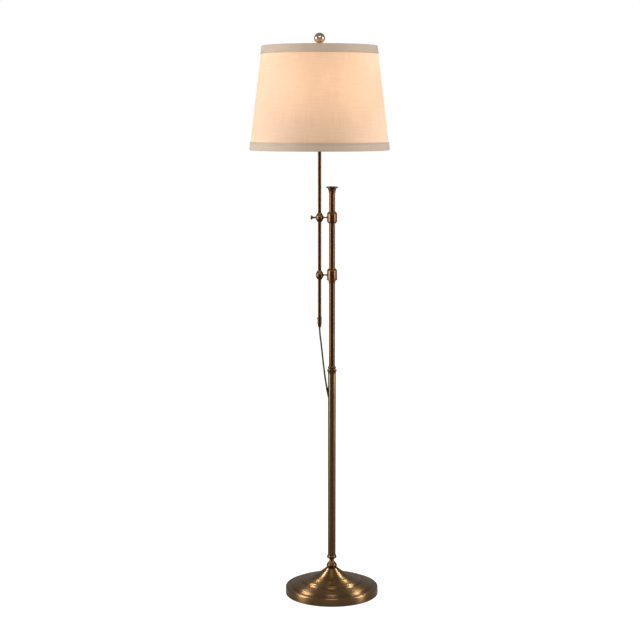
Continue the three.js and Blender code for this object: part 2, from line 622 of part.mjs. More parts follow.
const legTop = saddleTop + SADDLE_LEG_HEIGHT;
const legInner = HARP_FOOT - SADDLE_THICKNESS / 2;
const strapLength = 2 * legInner + 2 * SADDLE_THICKNESS;
const legs = [-1, 1].map((side) => new THREE.BoxGeometry(
  SADDLE_LEG_WIDTH, SADDLE_THICKNESS, legTop - saddleBottom,
).translate(0, side * HARP_FOOT, (legTop + saddleBottom) / 2));
const strap = new THREE.BoxGeometry(SADDLE_LEG_WIDTH, strapLength, SADDLE_THICKNESS)
  .translate(0, 0, saddleBottom + SADDLE_THICKNESS / 2);
const eye = pin(SADDLE_EYE_RADIUS, saddleBottom, saddleTop, MEDIUM);
add('harp_saddle', cut(join(strap, eye, ...legs), rodHole), antiqueBrass, besidePole);

// Socket: cap, shell and paper liner around a moulded body that holds the screw shell, the centre
// contact and the turn switch.
const capInside = SOCKET_RADIUS - SOCKET_WALL;
const capRim = socketCapBottom + SOCKET_CAP_HEIGHT;
add('socket_cap', turned([
  [rodBore, socketCapBottom],
  [8, socketCapBottom, 1],
  [8.4, socketCapBottom + 4],
  [SOCKET_RADIUS - 1.5, socketCapBottom + 8, 3],
  [SOCKET_RADIUS, socketCapBottom + 14, 2],
  [SOCKET_RADIUS, capRim],
  [capInside, capRim],
  [capInside, socketCapBottom + 14.4, 2],
  [capInside - 1.6, socketCapBottom + 9.2, 2],
  [7.4, socketCapBottom + 5],
  [rodBore, socketCapBottom + 5],
]), brightBrass, besidePole);

const switchAxis = shellBottom + SWITCH_RISE;
const stemHole = awayFromPole(pin(SWITCH_STEM_RADIUS + GAP, 5, SOCKET_RADIUS + 8, 12))
  .translate(0, 0, switchAxis);
const shellInside = SOCKET_RADIUS - SOCKET_WALL;
add('socket_shell', cut(turned([
  [SOCKET_RADIUS, shellBottom],
  [SOCKET_RADIUS + 0.9, shellBottom + 1.4, 0.7],
  [SOCKET_RADIUS, shellBottom + 2.8],
  [SOCKET_RADIUS, shellTop - 1.6],
  [SOCKET_RADIUS + 0.6, shellTop - 0.6],
  [SOCKET_RADIUS, shellTop],
  [shellInside, shellTop],
  [shellInside, shellBottom],
]), stemHole), brightBrass, besidePole);

const linerOuter = shellInside - GAP;
const linerInner = linerOuter - LINER_WALL;
add('socket_liner',
  cut(tube(linerOuter, linerInner, shellBottom + 0.5, shellTop - 1.5), stemHole),
  fibreboard, besidePole);

const bodyOuter = linerInner - GAP;
const bodyFloor = shellBottom + 12;
const bodyTop = shellTop - 6;
add('socket_body', cut(turned([
  [0, shellBottom + 1],
  [bodyOuter, shellBottom + 1],
  [bodyOuter, bodyTop],
  [SCREW_SHELL_RADIUS + GAP, bodyTop],
  [SCREW_SHELL_RADIUS + GAP, bodyFloor],
  [0, bodyFloor],
]), stemHole), phenolic, besidePole);
add('screw_shell', tube(SCREW_SHELL_RADIUS, BULB_CAP_RADIUS + GAP, bodyFloor + GAP, shellTop - 4),
  brightBrass, besidePole);
add('centre_contact', turned([
  [0, bodyFloor + GAP], [5, bodyFloor + GAP], [5, bodyFloor + 1], [2.5, bodyFloor + 2.2],
  [0, bodyFloor + 2.2],
], SMALL), brightBrass, besidePole);

const stemEnd = KNOB_REACH - 6;
add('switch_stem', awayFromPole(pin(SWITCH_STEM_RADIUS, 5 + GAP, stemEnd, 12))
  .translate(0, 0, switchAxis), phenolic, besidePole);
const knobHub = pin(4, SOCKET_RADIUS + 4, KNOB_REACH - 11, SMALL);
const paddle = new THREE.BoxGeometry(KNOB_WIDTH, 5.4, 13).translate(0, 0, KNOB_REACH - 6.5);
const knobBore = pin(SWITCH_STEM_RADIUS + 0.1, SOCKET_RADIUS, stemEnd + GAP, 12);
add('switch_knob', awayFromPole(cut(join(knobHub, paddle), knobBore)).translate(0, 0, switchAxis),
  phenolic, besidePole);

// Harp: a bent wire bow held to the saddle's legs by two sliding sleeves.
const bowFoot = legTop + GAP;
const bowTop = harpTop - HARP_WIRE_RADIUS;
const bowRise = bowTop - bowFoot;
const bowSide = [
  [HARP_FOOT, bowFoot],
  [HARP_FOOT, bowFoot + SLEEVE_LENGTH],
  [HARP_HALF_WIDTH * 0.62, bowFoot + bowRise * 0.2],
  [HARP_HALF_WIDTH * 0.94, bowFoot + bowRise * 0.4],
  [HARP_HALF_WIDTH, bowFoot + bowRise * 0.56],
  [HARP_HALF_WIDTH * 0.84, bowFoot + bowRise * 0.78],
  [HARP_HALF_WIDTH * 0.45, bowFoot + bowRise * 0.96],
];
const bowRoute = [
  ...bowSide.map(([y, z]) => new THREE.Vector3(0, -y, z)),
  new THREE.Vector3(0, 0, bowTop),
  ...bowSide.map(([y, z]) => new THREE.Vector3(0, y, z)).reverse(),
];
add('harp_bow', strand(new THREE.CatmullRomCurve3(bowRoute, false, 'centripetal'),
  HARP_WIRE_RADIUS, 36), antiqueBrass, besidePole);

const sleeveInner = Math.hypot(SADDLE_LEG_WIDTH, SADDLE_THICKNESS) / 2 + GAP;
const sleeve = tube(sleeveInner + SLEEVE_WALL, sleeveInner, legTop - SLEEVE_LENGTH * 0.55,
  legTop + SLEEVE_LENGTH * 0.45, SMALL);
add('harp_sleeve_front', sleeve.clone().translate(0, -HARP_FOOT, 0), antiqueBrass, besidePole);
add('harp_sleeve_back', sleeve.clone().translate(0, HARP_FOOT, 0), antiqueBrass, besidePole);

const studTop = hubTop + FINIAL_NECK_HEIGHT - 3;
add('harp_stud', turned([
  [0, flangeBottom],
  [STUD_FLANGE_RADIUS, flangeBottom],
  [STUD_FLANGE_RADIUS, flangeBottom + STUD_FLANGE_HEIGHT],
  [STUD_RADIUS, flangeBottom + STUD_FLANGE_HEIGHT],
  [STUD_RADIUS, studTop],
  [0, studTop],
], SMALL), antiqueBrass, besidePole);

// Bulb: an insulator, a screw cap and a frosted globe that is open at its neck.
const insulatorBottom = bodyFloor + 2.2 + GAP;
const bulbCapBottom = insulatorBottom + 4.5;
const bulbCapTop = bulbCapBottom + BULB_CAP_HEIGHT;
add('bulb_insulator', turned([
  [0, insulatorBottom], [4, insulatorBottom], [BULB_CAP_RADIUS - 1, insulatorBottom + 3],
  [BULB_CAP_RADIUS - 1, bulbCapBottom - GAP], [0, bulbCapBottom - GAP],
], SMALL), phenolic, besidePole);
add('bulb_cap', tube(BULB_CAP_RADIUS, BULB_CAP_RADIUS - 0.6, bulbCapBottom, bulbCapTop),
  zincSteel, besidePole);

const glassBottom = bulbCapTop + GAP;
const glassTop = glassBottom + BULB_HEIGHT;
const globeMiddle = glassTop - BULB_RADIUS;

// One face of the globe: an arc over the top that runs down into the neck.
function globe(radius, neck) {
  const arc = new THREE.Path();
  arc.moveTo(neck, glassBottom);
  arc.bezierCurveTo(neck + 0.5, glassBottom + 14, radius * 0.86, globeMiddle - 22,
    radius, globeMiddle);
  arc.absarc(0, globeMiddle, radius, 0, Math.PI / 2, false);
  return arc.getPoints(4).map(({ x, y }) => [Math.max(x, 0), y]);
}
const neckInner = BULB_CAP_RADIUS - 1.6;
add('bulb_glass', turned([
  ...globe(BULB_RADIUS - GLASS_WALL, neckInner - GLASS_WALL).reverse().slice(1),
  ...globe(BULB_RADIUS, neckInner),
], MEDIUM), frostedGlass, besidePole);

// Shade: cloth over a stiff liner, a wire ring in each edge, trim folded over both edges, and a
// spider whose hub sits on the harp's stud. Sizes are measured inwards from the trim's outside.
function shadeRadius(height) {
  const share = (height - shadeBottom) / SHADE_HEIGHT;
  return SHADE_BOTTOM_RADIUS + (SHADE_TOP_RADIUS - SHADE_BOTTOM_RADIUS) * share;
}

// A corner of the shade's section at a height and a depth inwards.
const inShade = (depth, height) => [shadeRadius(height) - depth, height];
const clothDepth = CLOTH + GAP;
const linerDepth = clothDepth + CLOTH + GAP;
const ringDepth = linerDepth + LINER_SHEET + GAP;
const innerLeafDepth = ringDepth + 2 * RING_WIRE_RADIUS + GAP;
const sheetEdge = CLOTH + GAP; // cloth and liner stop this far inside the fold

function shadeSheet(depth, thickness) {
  const [low, high] = [shadeBottom + sheetEdge, shadeTop - sheetEdge];
  return turned([
    inShade(depth, low), inShade(depth, high),
    inShade(depth + thickness, high), inShade(depth + thickness, low),
  ], LARGE);
}
add('shade_cloth', shadeSheet(clothDepth, CLOTH), linen, besidePole);
add('shade_liner', shadeSheet(linerDepth, LINER_SHEET), linerSheet, besidePole);

// The trim's section: an outer leaf, a fold round the edge and a short inner leaf. Up is +1 for
// the top edge and -1 for the bottom one, whose section runs the other way round.
function trim(edge, up) {
  const at = (depth, inwards) => inShade(depth, edge - up * inwards);
  const section = [
    at(0, TRIM_HEIGHT), at(0, 0),
    at(innerLeafDepth + CLOTH, 0), at(innerLeafDepth + CLOTH, TRIM_TURN_IN),
    at(innerLeafDepth, TRIM_TURN_IN), at(innerLeafDepth, CLOTH),
    at(CLOTH, CLOTH), at(CLOTH, TRIM_HEIGHT),
  ];
  return turned(up > 0 ? section : section.reverse(), LARGE);
}
add('top_trim', trim(shadeTop, 1), trimCloth, besidePole);
add('bottom_trim', trim(shadeBottom, -1), trimCloth, besidePole);

function wireRing(height) {
  const middle = shadeRadius(height) - ringDepth - RING_WIRE_RADIUS;
  const wire = [...Array(6).keys()].map((i) => {
    const angle = (i * Math.PI) / 3;
    return [middle + RING_WIRE_RADIUS * Math.cos(angle), height + RING_WIRE_RADIUS * Math.sin(angle)];
  });
  return turned(wire, LARGE);
}
const ringInset = sheetEdge + RING_WIRE_RADIUS;
const topRingHeight = shadeTop - ringInset;
add('top_ring', wireRing(topRingHeight), zincSteel, besidePole);
add('bottom_ring', wireRing(shadeBottom + ringInset), zincSteel, besidePole);

const armHeight = (hubBottom + hubTop) / 2;
const armEnd = shadeRadius(shadeTop) - innerLeafDepth - CLOTH - GAP - 0.5;
const armTopHeight = shadeTop - SPIDER_WIRE_RADIUS - 1;
const spiderArms = [...Array(SPIDER_ARMS).keys()].map((i) => {
  const route = new THREE.CatmullRomCurve3([
    new THREE.Vector3(HUB_RADIUS - 2, 0, armHeight),
    new THREE.Vector3(HUB_RADIUS + 14, 0, armHeight),
    new THREE.Vector3(HUB_RADIUS + 30, 0, armTopHeight - 1),
    new THREE.Vector3(armEnd, 0, armTopHeight),
  ], false, 'centripetal');
  const angle = Math.PI + (2 * Math.PI * i) / SPIDER_ARMS;
  return strand(route, SPIDER_WIRE_RADIUS, 12, 6).rotateZ(angle);
});
const hub = pin(HUB_RADIUS, hubBottom, hubTop, MEDIUM);
const studHole = pin(STUD_RADIUS + GAP, hubBottom - 5, hubTop + 5, SMALL);
add('spider', cut(join(hub, ...spiderArms), studHole), antiqueBrass, besidePole);

// Finial: a polished ball on a flared neck, tapped for the stud.
const finialBottom = hubTop + GAP;
const ballMiddle = finialBottom + FINIAL_NECK_HEIGHT + FINIAL_BALL_RADIUS - 1;
const neckTopRadius = 5;
const ballStart = Math.acos(neckTopRadius / FINIAL_BALL_RADIUS);
const ballArc = new THREE.Path()
  .absarc(0, ballMiddle, FINIAL_BALL_RADIUS, -ballStart, Math.PI / 2, false)
  .getPoints(5).map(({ x, y }) => [Math.max(x, 0), y]);
add('finial', turned([
  [0, studTop + GAP],
  [STUD_RADIUS + GAP, studTop + GAP],
  [STUD_RADIUS + GAP, finialBottom],
  [8, finialBottom, 1],
  [8, finialBottom + 2.6, 1],
  [neckTopRadius + 0.4, finialBottom + 5, 1],
  [neckTopRadius - 0.4, finialBottom + 10],
  ...ballArc,
], MEDIUM), polishedNickel, besidePole);

export default lamp;
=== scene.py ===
# Pharmacy floor lamp: a weighted brass base, a jointed pole, and beside it a sliding rod that
# carries the socket, the harp, the lit bulb and a linen drum shade. In metres, +Z up.
import math

import bmesh
import bpy
from mathutils import Matrix, Vector


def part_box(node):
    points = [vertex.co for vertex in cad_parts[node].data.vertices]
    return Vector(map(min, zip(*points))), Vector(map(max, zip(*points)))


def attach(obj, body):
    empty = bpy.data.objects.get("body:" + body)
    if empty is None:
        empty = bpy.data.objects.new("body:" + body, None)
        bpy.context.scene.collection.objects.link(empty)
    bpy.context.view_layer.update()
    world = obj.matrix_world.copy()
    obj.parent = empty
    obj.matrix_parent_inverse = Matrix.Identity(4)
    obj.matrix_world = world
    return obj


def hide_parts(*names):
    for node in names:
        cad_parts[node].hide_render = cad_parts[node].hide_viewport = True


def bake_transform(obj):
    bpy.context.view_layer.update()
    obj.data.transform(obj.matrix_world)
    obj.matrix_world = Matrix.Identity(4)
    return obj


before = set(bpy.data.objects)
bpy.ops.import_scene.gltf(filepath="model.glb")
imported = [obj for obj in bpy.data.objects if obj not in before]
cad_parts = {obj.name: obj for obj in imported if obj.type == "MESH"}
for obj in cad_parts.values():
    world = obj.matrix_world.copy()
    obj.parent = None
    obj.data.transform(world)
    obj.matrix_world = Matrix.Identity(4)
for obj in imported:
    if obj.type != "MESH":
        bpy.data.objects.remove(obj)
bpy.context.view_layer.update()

MM = 0.001


# The camera stands 4.4 m in front of the lamp at eye height, tipped down a little, with a long
# lens, so the pole stays upright and the base is seen from above.
eye = bpy.data.cameras.new("eye")
eye.lens = 84.4
eye.sensor_width = 36
camera = bpy.data.objects.new("camera", eye)
camera.location = (-0.0352, -4.364, 1.418)
camera.rotation_euler = (math.radians(90 - 7.71), 0, 0)
bpy.context.scene.collection.objects.link(camera)
bpy.context.scene.camera = camera


# Lead: a round two-core lead in a dark grey sheath. It hangs out of the foot of the sliding rod
# with a little slack and goes into the pole through a grommet.
LEAD_DIAMETER = 5 * MM
LEAD_ROUTE = [
    (-36.4, 805.7), (-35.6, 790), (-33.4, 770), (-31.0, 750), (-28.6, 728), (-26.2, 706),
    (-23.7, 684), (-20.9, 662), (-17.7, 640), (-14.5, 622.5), (-11.1, 606), (-8.1, 592),
]


def wire(name, points, thickness, steps=6, sides=4, closed=False):
    """A bent wire or lead of round section through the points, as a mesh, with its flat UV."""
    line = bpy.data.curves.new(name, "CURVE")
    line.dimensions = "3D"
    line.bevel_depth = thickness / 2
    line.bevel_resolution = sides
    line.resolution_u = steps
    line.use_fill_caps = not closed
    spline = line.splines.new("BEZIER")
    spline.bezier_points.add(len(points) - 1)
    spline.use_cyclic_u = closed
    for knot, point in zip(spline.bezier_points, points):
        knot.co = point
        knot.handle_left_type = knot.handle_right_type = "AUTO"
    bent = bpy.data.objects.new(name, line)
    bpy.context.scene.collection.objects.link(bent)
    mesh = bpy.data.meshes.new_from_object(
        bent.evaluated_get(bpy.context.evaluated_depsgraph_get()))
    bpy.data.objects.remove(bent)
    bpy.data.curves.remove(line)
    shape = bmesh.new()
    shape.from_mesh(mesh)
    bpy.data.meshes.remove(mesh)
    bmesh.ops.remove_doubles(shape, verts=shape.verts, dist=0.00001)
    bmesh.ops.recalc_face_normals(shape, faces=shape.faces)
    return shape


def place(name, shape, finish, body=None, node=None, crease=40):
    """Makes a finished mesh a piece: smooth but for its creases, riding with its body."""
    mesh = bpy.data.meshes.new(name)
    shape.to_mesh(mesh)
    shape.free()
    mesh.polygons.foreach_set("use_smooth", [True] * len(mesh.polygons))
    mesh.set_sharp_from_angle(angle=math.radians(crease))
    mesh.materials.append(finish)
    made = bpy.data.objects.new(name, mesh)
    bpy.context.scene.collection.objects.link(made)
    if body:
        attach(made, body)
    if node:
        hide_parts(node)
    return made


def new_finish(name, colour, roughness, metallic=0.0):
    """A material with a plain Principled shader, and what is needed to add nodes to it."""
    finish = bpy.data.materials.new(name)
    finish.use_nodes = True
    nodes, links = finish.node_tree.nodes, finish.node_tree.links
    shader = nodes["Principled BSDF"]
    shader.inputs["Base Color"].default_value = (*colour, 1)
    shader.inputs["Roughness"].default_value = roughness
    shader.inputs["Metallic"].default_value = metallic
    return finish, nodes, links, shader


def new_effect(name, values=(), colours=(), gives=()):
    """An empty shader node group with named inputs and outputs."""
    effect = bpy.data.node_groups.new(name, "ShaderNodeTree")
    for label in values:
        effect.interface.new_socket(label, in_out="INPUT", socket_type="NodeSocketFloat")
    for label in colours:
        effect.interface.new_socket(label, in_out="INPUT", socket_type="NodeSocketColor")
    for label in gives:
        kind = "NodeSocketColor" if label == "Colour" else "NodeSocketFloat"
        effect.interface.new_socket(label, in_out="OUTPUT", socket_type=kind)
    given = effect.nodes.new("NodeGroupInput").outputs
    result = effect.nodes.new("NodeGroupOutput").inputs
    return effect, effect.nodes, effect.links, given, result


def blend_colours(nodes, links, share, first, second, way="MIX"):
    """A colour mix node. Each colour and the share may be a socket or a plain value."""
    mix = nodes.new("ShaderNodeMix")
    mix.data_type = "RGBA"
    mix.blend_type = way
    for socket, value in zip((mix.inputs[0], mix.inputs[6], mix.inputs[7]), (share, first, second)):
        if isinstance(value, bpy.types.NodeSocket):
            links.new(value, socket)
        else:
            socket.default_value = value if isinstance(value, float) else (*value, 1)
    return mix.outputs[2]


def sum_up(nodes, links, way, *terms):
    """A math node over sockets and plain numbers."""
    node = nodes.new("ShaderNodeMath")
    node.operation = way
    for socket, term in zip(node.inputs, terms):
        if isinstance(term, bpy.types.NodeSocket):
            links.new(term, socket)
        else:
            socket.default_value = term
    return node.outputs[0]


# Grime, an effect that every finish here uses: soft clouds and a finer speckle, which darken the
# colour a little and change the gloss, as handling and dust do.
grime, n, l, given, result = new_effect(
    "grime", values=("Cloud size", "Speckle size", "Depth"), colours=("Tint",),
    gives=("Colour", "Clouds", "Speckle"))
here = n.new("ShaderNodeTexCoord").outputs["Object"]
clouds, speckle = n.new("ShaderNodeTexNoise"), n.new("ShaderNodeTexNoise")
for noise, size in ((clouds, "Cloud size"), (speckle, "Speckle size")):
    l.new(here, noise.inputs["Vector"])
    l.new(sum_up(n, l, "DIVIDE", 1.0, given[size]), noise.inputs["Scale"])
    noise.inputs["Detail"].default_value = 4
uneven = sum_up(n, l, "MULTIPLY",
                sum_up(n, l, "ADD", clouds.outputs["Fac"], speckle.outputs["Fac"]),
                given["Depth"])
darker = blend_colours(n, l, uneven, given["Tint"], (0.0, 0.0, 0.0))
l.new(darker, result["Colour"])
l.new(clouds.outputs["Fac"], result["Clouds"])
l.new(speckle.outputs["Fac"], result["Speckle"])


def use_effect(nodes, effect, **values):
    """Places an effect in a material with its own values, named with _ for a space."""
    node = nodes.new("ShaderNodeGroup")
    node.node_tree = effect
    for label, value in values.items():
        socket = node.inputs[label.replace("_", " ")]
        socket.default_value = value if isinstance(value, float) else (*value, 1)
    return node.outputs


def between(nodes, links, share, low, high):
    """Turns a value from 0 to 1 into one from low to high."""
    node = nodes.new("ShaderNodeMapRange")
    links.new(share, node.inputs["Value"])
    node.inputs["To Min"].default_value = low
    node.inputs["To Max"].default_value = high
    return node.outputs[0]


def raise_surface(nodes, links, shader, height, depth):
    """Feeds a height, in metres at full scale, to the shader as a bump."""
    bump = nodes.new("ShaderNodeBump")
    bump.inputs["Distance"].default_value = depth
    links.new(height, bump.inputs["Height"])
    links.new(bump.outputs["Normal"], shader.inputs["Normal"])


def plain_finish(name, colour, rough, metallic=0.0, cloud=0.02, speck=0.0008, depth=0.15,
                 bump=0.00002):
    """A finish whose detail is its grime and a fine grain."""
    finish, nodes, links, shader = new_finish(name, colour, rough[0], metallic)
    dirt = use_effect(nodes, grime, Cloud_size=cloud, Speckle_size=speck, Depth=depth, Tint=colour)
    links.new(dirt["Colour"], shader.inputs["Base Color"])
    links.new(between(nodes, links, dirt["Clouds"], *rough), shader.inputs["Roughness"])
    raise_surface(nodes, links, shader, dirt["Speckle"], bump)
    return finish


lead_sheath = plain_finish("lead sheath", (0.035, 0.037, 0.04), (0.42, 0.6), cloud=0.01)
lead_points = [(x * MM, 0, z * MM) for x, z in LEAD_ROUTE]
lead = place("hanging_lead", wire("hanging_lead", lead_points, LEAD_DIAMETER, steps=8), lead_sheath)
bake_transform(lead)
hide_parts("lead")


def refinish(finish, *nodes):
    """Gives CAD nodes whose shape is right a better material."""
    for node in nodes:
        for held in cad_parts[node].material_slots:
            held.material = finish


refinish(lead_sheath, "rod_lead", "pole_lead")


# Antique brass, on nearly every piece that shows: brass darkened brown, buffed back and lacquered.
# Fine turning lines run round each piece, and its edges are rubbed paler.
turning, n, l, given, result = new_effect(
    "turning lines", values=("Axis X", "Spacing"), gives=("Lines", "Broad"))
apart = n.new("ShaderNodeSeparateXYZ")
l.new(n.new("ShaderNodeTexCoord").outputs["Object"], apart.inputs[0])
across = sum_up(n, l, "SUBTRACT", apart.outputs["X"], given["Axis X"])
reach = sum_up(n, l, "SQRT", sum_up(n, l, "ADD", sum_up(n, l, "MULTIPLY", across, across),
               sum_up(n, l, "MULTIPLY", apart.outputs["Y"], apart.outputs["Y"])))
profile = n.new("ShaderNodeCombineXYZ")
l.new(reach, profile.inputs["X"])
l.new(apart.outputs["Z"], profile.inputs["Z"])
for output, wider in (("Lines", 1.0), ("Broad", 14.0)):
    rings = n.new("ShaderNodeTexNoise")
    rings.inputs["Detail"].default_value = 3
    l.new(profile.outputs[0], rings.inputs["Vector"])
    width = sum_up(n, l, "MULTIPLY", given["Spacing"], wider)
    l.new(sum_up(n, l, "DIVIDE", 1.0, width), rings.inputs["Scale"])
    l.new(rings.outputs["Fac"], result[output])

rubbed, n, l, given, result = new_effect("rubbed edges", values=("Reach",), gives=("Wear",))
sharpness = n.new("ShaderNodeMapRange")
l.new(n.new("ShaderNodeNewGeometry").outputs["Pointiness"], sharpness.inputs["Value"])
sharpness.inputs["From Min"].default_value = 0.52
l.new(sum_up(n, l, "ADD", 0.52, given["Reach"]), sharpness.inputs["From Max"])
l.new(sharpness.outputs[0], result["Wear"])

BROWN = (0.115, 0.050, 0.012)
PALE = (0.24, 0.135, 0.056)


def brass_finish(name, brown, pale, rough, axis=0.0, spacing=0.0006, lines=0.00002, wear=0.06,
                 brushed=0.0):
    """Brass with its patina, its turning lines about an axis and its rubbed edges. Brushed round
    the pole's axis, its highlights stretch across the lines."""
    finish, nodes, links, shader = new_finish(name, brown, rough[0], 1.0)
    dirt = use_effect(nodes, grime, Cloud_size=0.03, Speckle_size=0.0012, Depth=0.3, Tint=brown)
    turned_in = use_effect(nodes, turning, Axis_X=axis, Spacing=spacing)
    edges = use_effect(nodes, rubbed, Reach=wear)
    banded = blend_colours(nodes, links, between(nodes, links, turned_in["Broad"], 0.0, 0.3),
                           dirt["Colour"], pale)
    worn = sum_up(nodes, links, "MULTIPLY", edges["Wear"], dirt["Clouds"])
    links.new(blend_colours(nodes, links, worn, banded, pale), shader.inputs["Base Color"])
    links.new(between(nodes, links, turned_in["Lines"], *rough), shader.inputs["Roughness"])
    raise_surface(nodes, links, shader, turned_in["Lines"], lines)
    shader.inputs["Coat Weight"].default_value = 0.15
    shader.inputs["Coat Roughness"].default_value = 0.12
    if brushed:
        shader.inputs["Anisotropic"].default_value = brushed
        shader.inputs["Anisotropic Rotation"].default_value = 0.25
        around = nodes.new("ShaderNodeTangent")
        around.direction_type = "RADIAL"
        around.axis = "Z"
        links.new(around.outputs[0], shader.inputs["Tangent"])
    return finish


ROD_AXIS = sum(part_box("rod")[corner].x for corner in (0, 1)) / 2
pole_brass = brass_finish("antique brass of the pole", BROWN, PALE, (0.28, 0.38), lines=0.00001)
lower_brass = brass_finish("antique brass of the lower tube", (0.165, 0.10, 0.036),
                           (0.30, 0.20, 0.095), (0.28, 0.38), lines=0.00001)
rod_brass = brass_finish("antique brass of the rod", (0.07, 0.034, 0.010), (0.15, 0.085, 0.034),
                         (0.28, 0.38), axis=ROD_AXIS, lines=0.000008)
spun_brass = brass_finish("spun brass of the base", (0.19, 0.105, 0.042), (0.46, 0.30, 0.14),
                          (0.26, 0.40), spacing=0.0009, lines=0.00004, brushed=0.85)
head_brass = brass_finish("antique brass of the clamps and head", BROWN, PALE, (0.28, 0.38),
                          axis=ROD_AXIS, lines=0.00001)
plain_brass = brass_finish("plain brass", (0.62, 0.43, 0.20), (0.75, 0.56, 0.30), (0.28, 0.4),
                           axis=ROD_AXIS, spacing=0.0004)
zinc = plain_finish("zinc plate", (0.55, 0.55, 0.52), (0.3, 0.48), 1.0)
black_rubber = plain_finish("black rubber", (0.02, 0.02, 0.02), (0.55, 0.7))


def turned(corners, foot=0.0, axis=0.0, steps=96, shape=None, turn=0.0):
    """A piece turned round an upright axis. Corners are radius, height above the foot and
    rounding, in millimetres. They start and end on the axis, or they close on themselves."""
    lathe = bmesh.new()
    chain = [lathe.verts.new((r * MM, 0, foot + h * MM)) for r, h, *_ in corners]
    edges = [lathe.edges.new(pair) for pair in zip(chain, chain[1:])]
    if corners[0][0] > 0:
        edges.append(lathe.edges.new((chain[-1], chain[0])))
    for corner, vertex in zip(corners, chain):
        if len(corner) > 2:
            bmesh.ops.bevel(lathe, geom=[vertex], offset=corner[2] * MM, segments=5,
                            profile=0.5, affect="VERTICES", offset_type="OFFSET", material=-1)
    bmesh.ops.rotate(lathe, verts=lathe.verts, cent=(0, 0, 0), matrix=Matrix.Rotation(turn, 3, "Z"))
    bmesh.ops.spin(lathe, geom=lathe.verts[:] + lathe.edges[:], cent=(0, 0, 0), axis=(0, 0, 1),
                   dvec=(0, 0, 0), angle=2 * math.pi, steps=steps, use_merge=True)
    bmesh.ops.remove_doubles(lathe, verts=lathe.verts, dist=0.000001)
    bmesh.ops.recalc_face_normals(lathe, faces=lathe.faces)
    bmesh.ops.translate(lathe, verts=lathe.verts, vec=(axis, 0, 0))
    if shape is None:
        return lathe
    held = bpy.data.meshes.new("held")
    lathe.to_mesh(held)
    lathe.free()
    shape.from_mesh(held)
    bpy.data.meshes.remove(held)
    return shape


# Base weight: a rough iron casting painted black, with a recess for the nut and a channel for
# the cord, all hidden under the cover. A zinc-plated washer and nut hold the nipple to it.
iron = plain_finish("painted cast iron", (0.028, 0.027, 0.026), (0.6, 0.85), 0.0,
                    speck=0.0015, bump=0.0003)
refinish(iron, "base_weight")
refinish(zinc, "base_nut", "base_washer", "base_nipple")

# Base pad: a disc of pressed black felt glued under the weight. Its cut edge is a little soft.
felt, nodes, links, shader = new_finish("black felt", (0.02, 0.02, 0.021), 0.95)
fuzz = use_effect(nodes, grime, Cloud_size=0.006, Speckle_size=0.0004, Depth=0.35,
                  Tint=(0.035, 0.035, 0.036))
links.new(fuzz["Colour"], shader.inputs["Base Color"])
raise_surface(nodes, links, shader, fuzz["Speckle"], 0.0003)
shader.inputs["Sheen Weight"].default_value = 0.5
pad_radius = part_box("base_pad")[1].x / MM
place("felt_pad", turned([(0, 0), (pad_radius, 0, 0.5), (pad_radius, 2, 0.5), (0, 2)]), felt,
      "root", "base_pad")

# Base cover: a brass sheet spun over a former: a plain rim, a flat ledge, a rounded band, a
# small step and a long hollow curve up to the neck, with two faint spinning ridges.
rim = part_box("base_cover")[1].x / MM
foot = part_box("base_cover")[0].z
top = (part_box("base_cover")[1].z - foot) / MM
hollow = [
    (88.0, 41.6), (81.6, 43.2), (80.6, 44.3), (79.4, 44.2), (70.0, 46.8), (58.0, 50.8),
    (57.0, 51.9), (55.8, 51.9), (50.0, 54.4), (43.0, 58.0), (36.0, 62.4), (30.0, 67.0),
    (25.0, 71.0), (20.6, 74.6), (17.0, 77.6, 1.0), (15.6, top - 0.3, 0.3),
]
cover = turned([
    (5.3, top - 1.6), (14.0, top - 2.2), (30.0, 62.0), (62.0, 46.0), (90.0, 36.0), (120.0, 22.4),
    (rim - 1.2, 22.6, 3.8), (rim - 1.2, 0.2), (rim, 0, 0.3), (rim, 24, 5), (124.4, 24.6, 0.8),
    (123.4, 23.6, 0.5), (122.2, 24.8, 0.5), (121.2, 29.4, 3.0), (110.0, 34.6, 7), (92.4, 37.8, 1.2),
    (90.6, 37.3, 0.4), (89.6, 40.4, 1.0), *hollow, (5.3, top),
], foot, steps=160)
place("spun_cover", cover, spun_brass, "root", "base_cover", crease=50)

# Cord bushing: a black rubber grommet in the back of the cover, where a mains cord would leave.
way_low, way_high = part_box("cord_bushing")
bush = turned([(2.8, 0), (4.4, 0), (4.4, 4.5), (6.2, 4.5, 0.6), (6.2, 6.4, 0.8), (4.0, 7.0, 0.6),
               (2.8, 7.0)], steps=32)
bmesh.ops.rotate(bush, verts=bush.verts, cent=(0, 0, 0),
                 matrix=Matrix.Rotation(math.radians(-90), 3, "X"))
bmesh.ops.translate(bush, verts=bush.verts,
                    vec=(0, way_high.y - 7 * MM, (way_low.z + way_high.z) / 2))
place("back_bushing", bush, black_rubber, "root", "cord_bushing")

# Neck: a turned bell that sits on the cover and a bead above it, both threaded on the nipple.
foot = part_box("neck_bell")[0].z
bell = turned([
    (5.3, 0), (14.2, 0, 0.4), (14.2, 2.0, 0.5), (14.9, 2.8, 0.5), (15.9, 6.2, 2.2), (15.0, 10.2, 2.4),
    (11.2, 14.6, 2.4), (7.6, 19.4, 3.0), (6.8, 23.0, 1.0), (6.8, 25.4), (5.3, 25.4),
], foot)
place("turned_bell", bell, pole_brass, "root", "neck_bell")
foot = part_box("neck_bead")[0].z
bead = turned([
    (5.3, 0), (8.3, 0, 0.3), (8.9, 1.6, 0.6), (12.4, 2.6, 0.8), (14.6, 4.8, 1.8), (14.6, 8.2, 1.8),
    (12.8, 10.4, 0.8), (12.4, 11.6, 0.4), (12.4, 13.6, 0.4), (11.9, 14), (5.3, 14),
], foot)
place("turned_bead", bead, pole_brass, "root", "neck_bead")


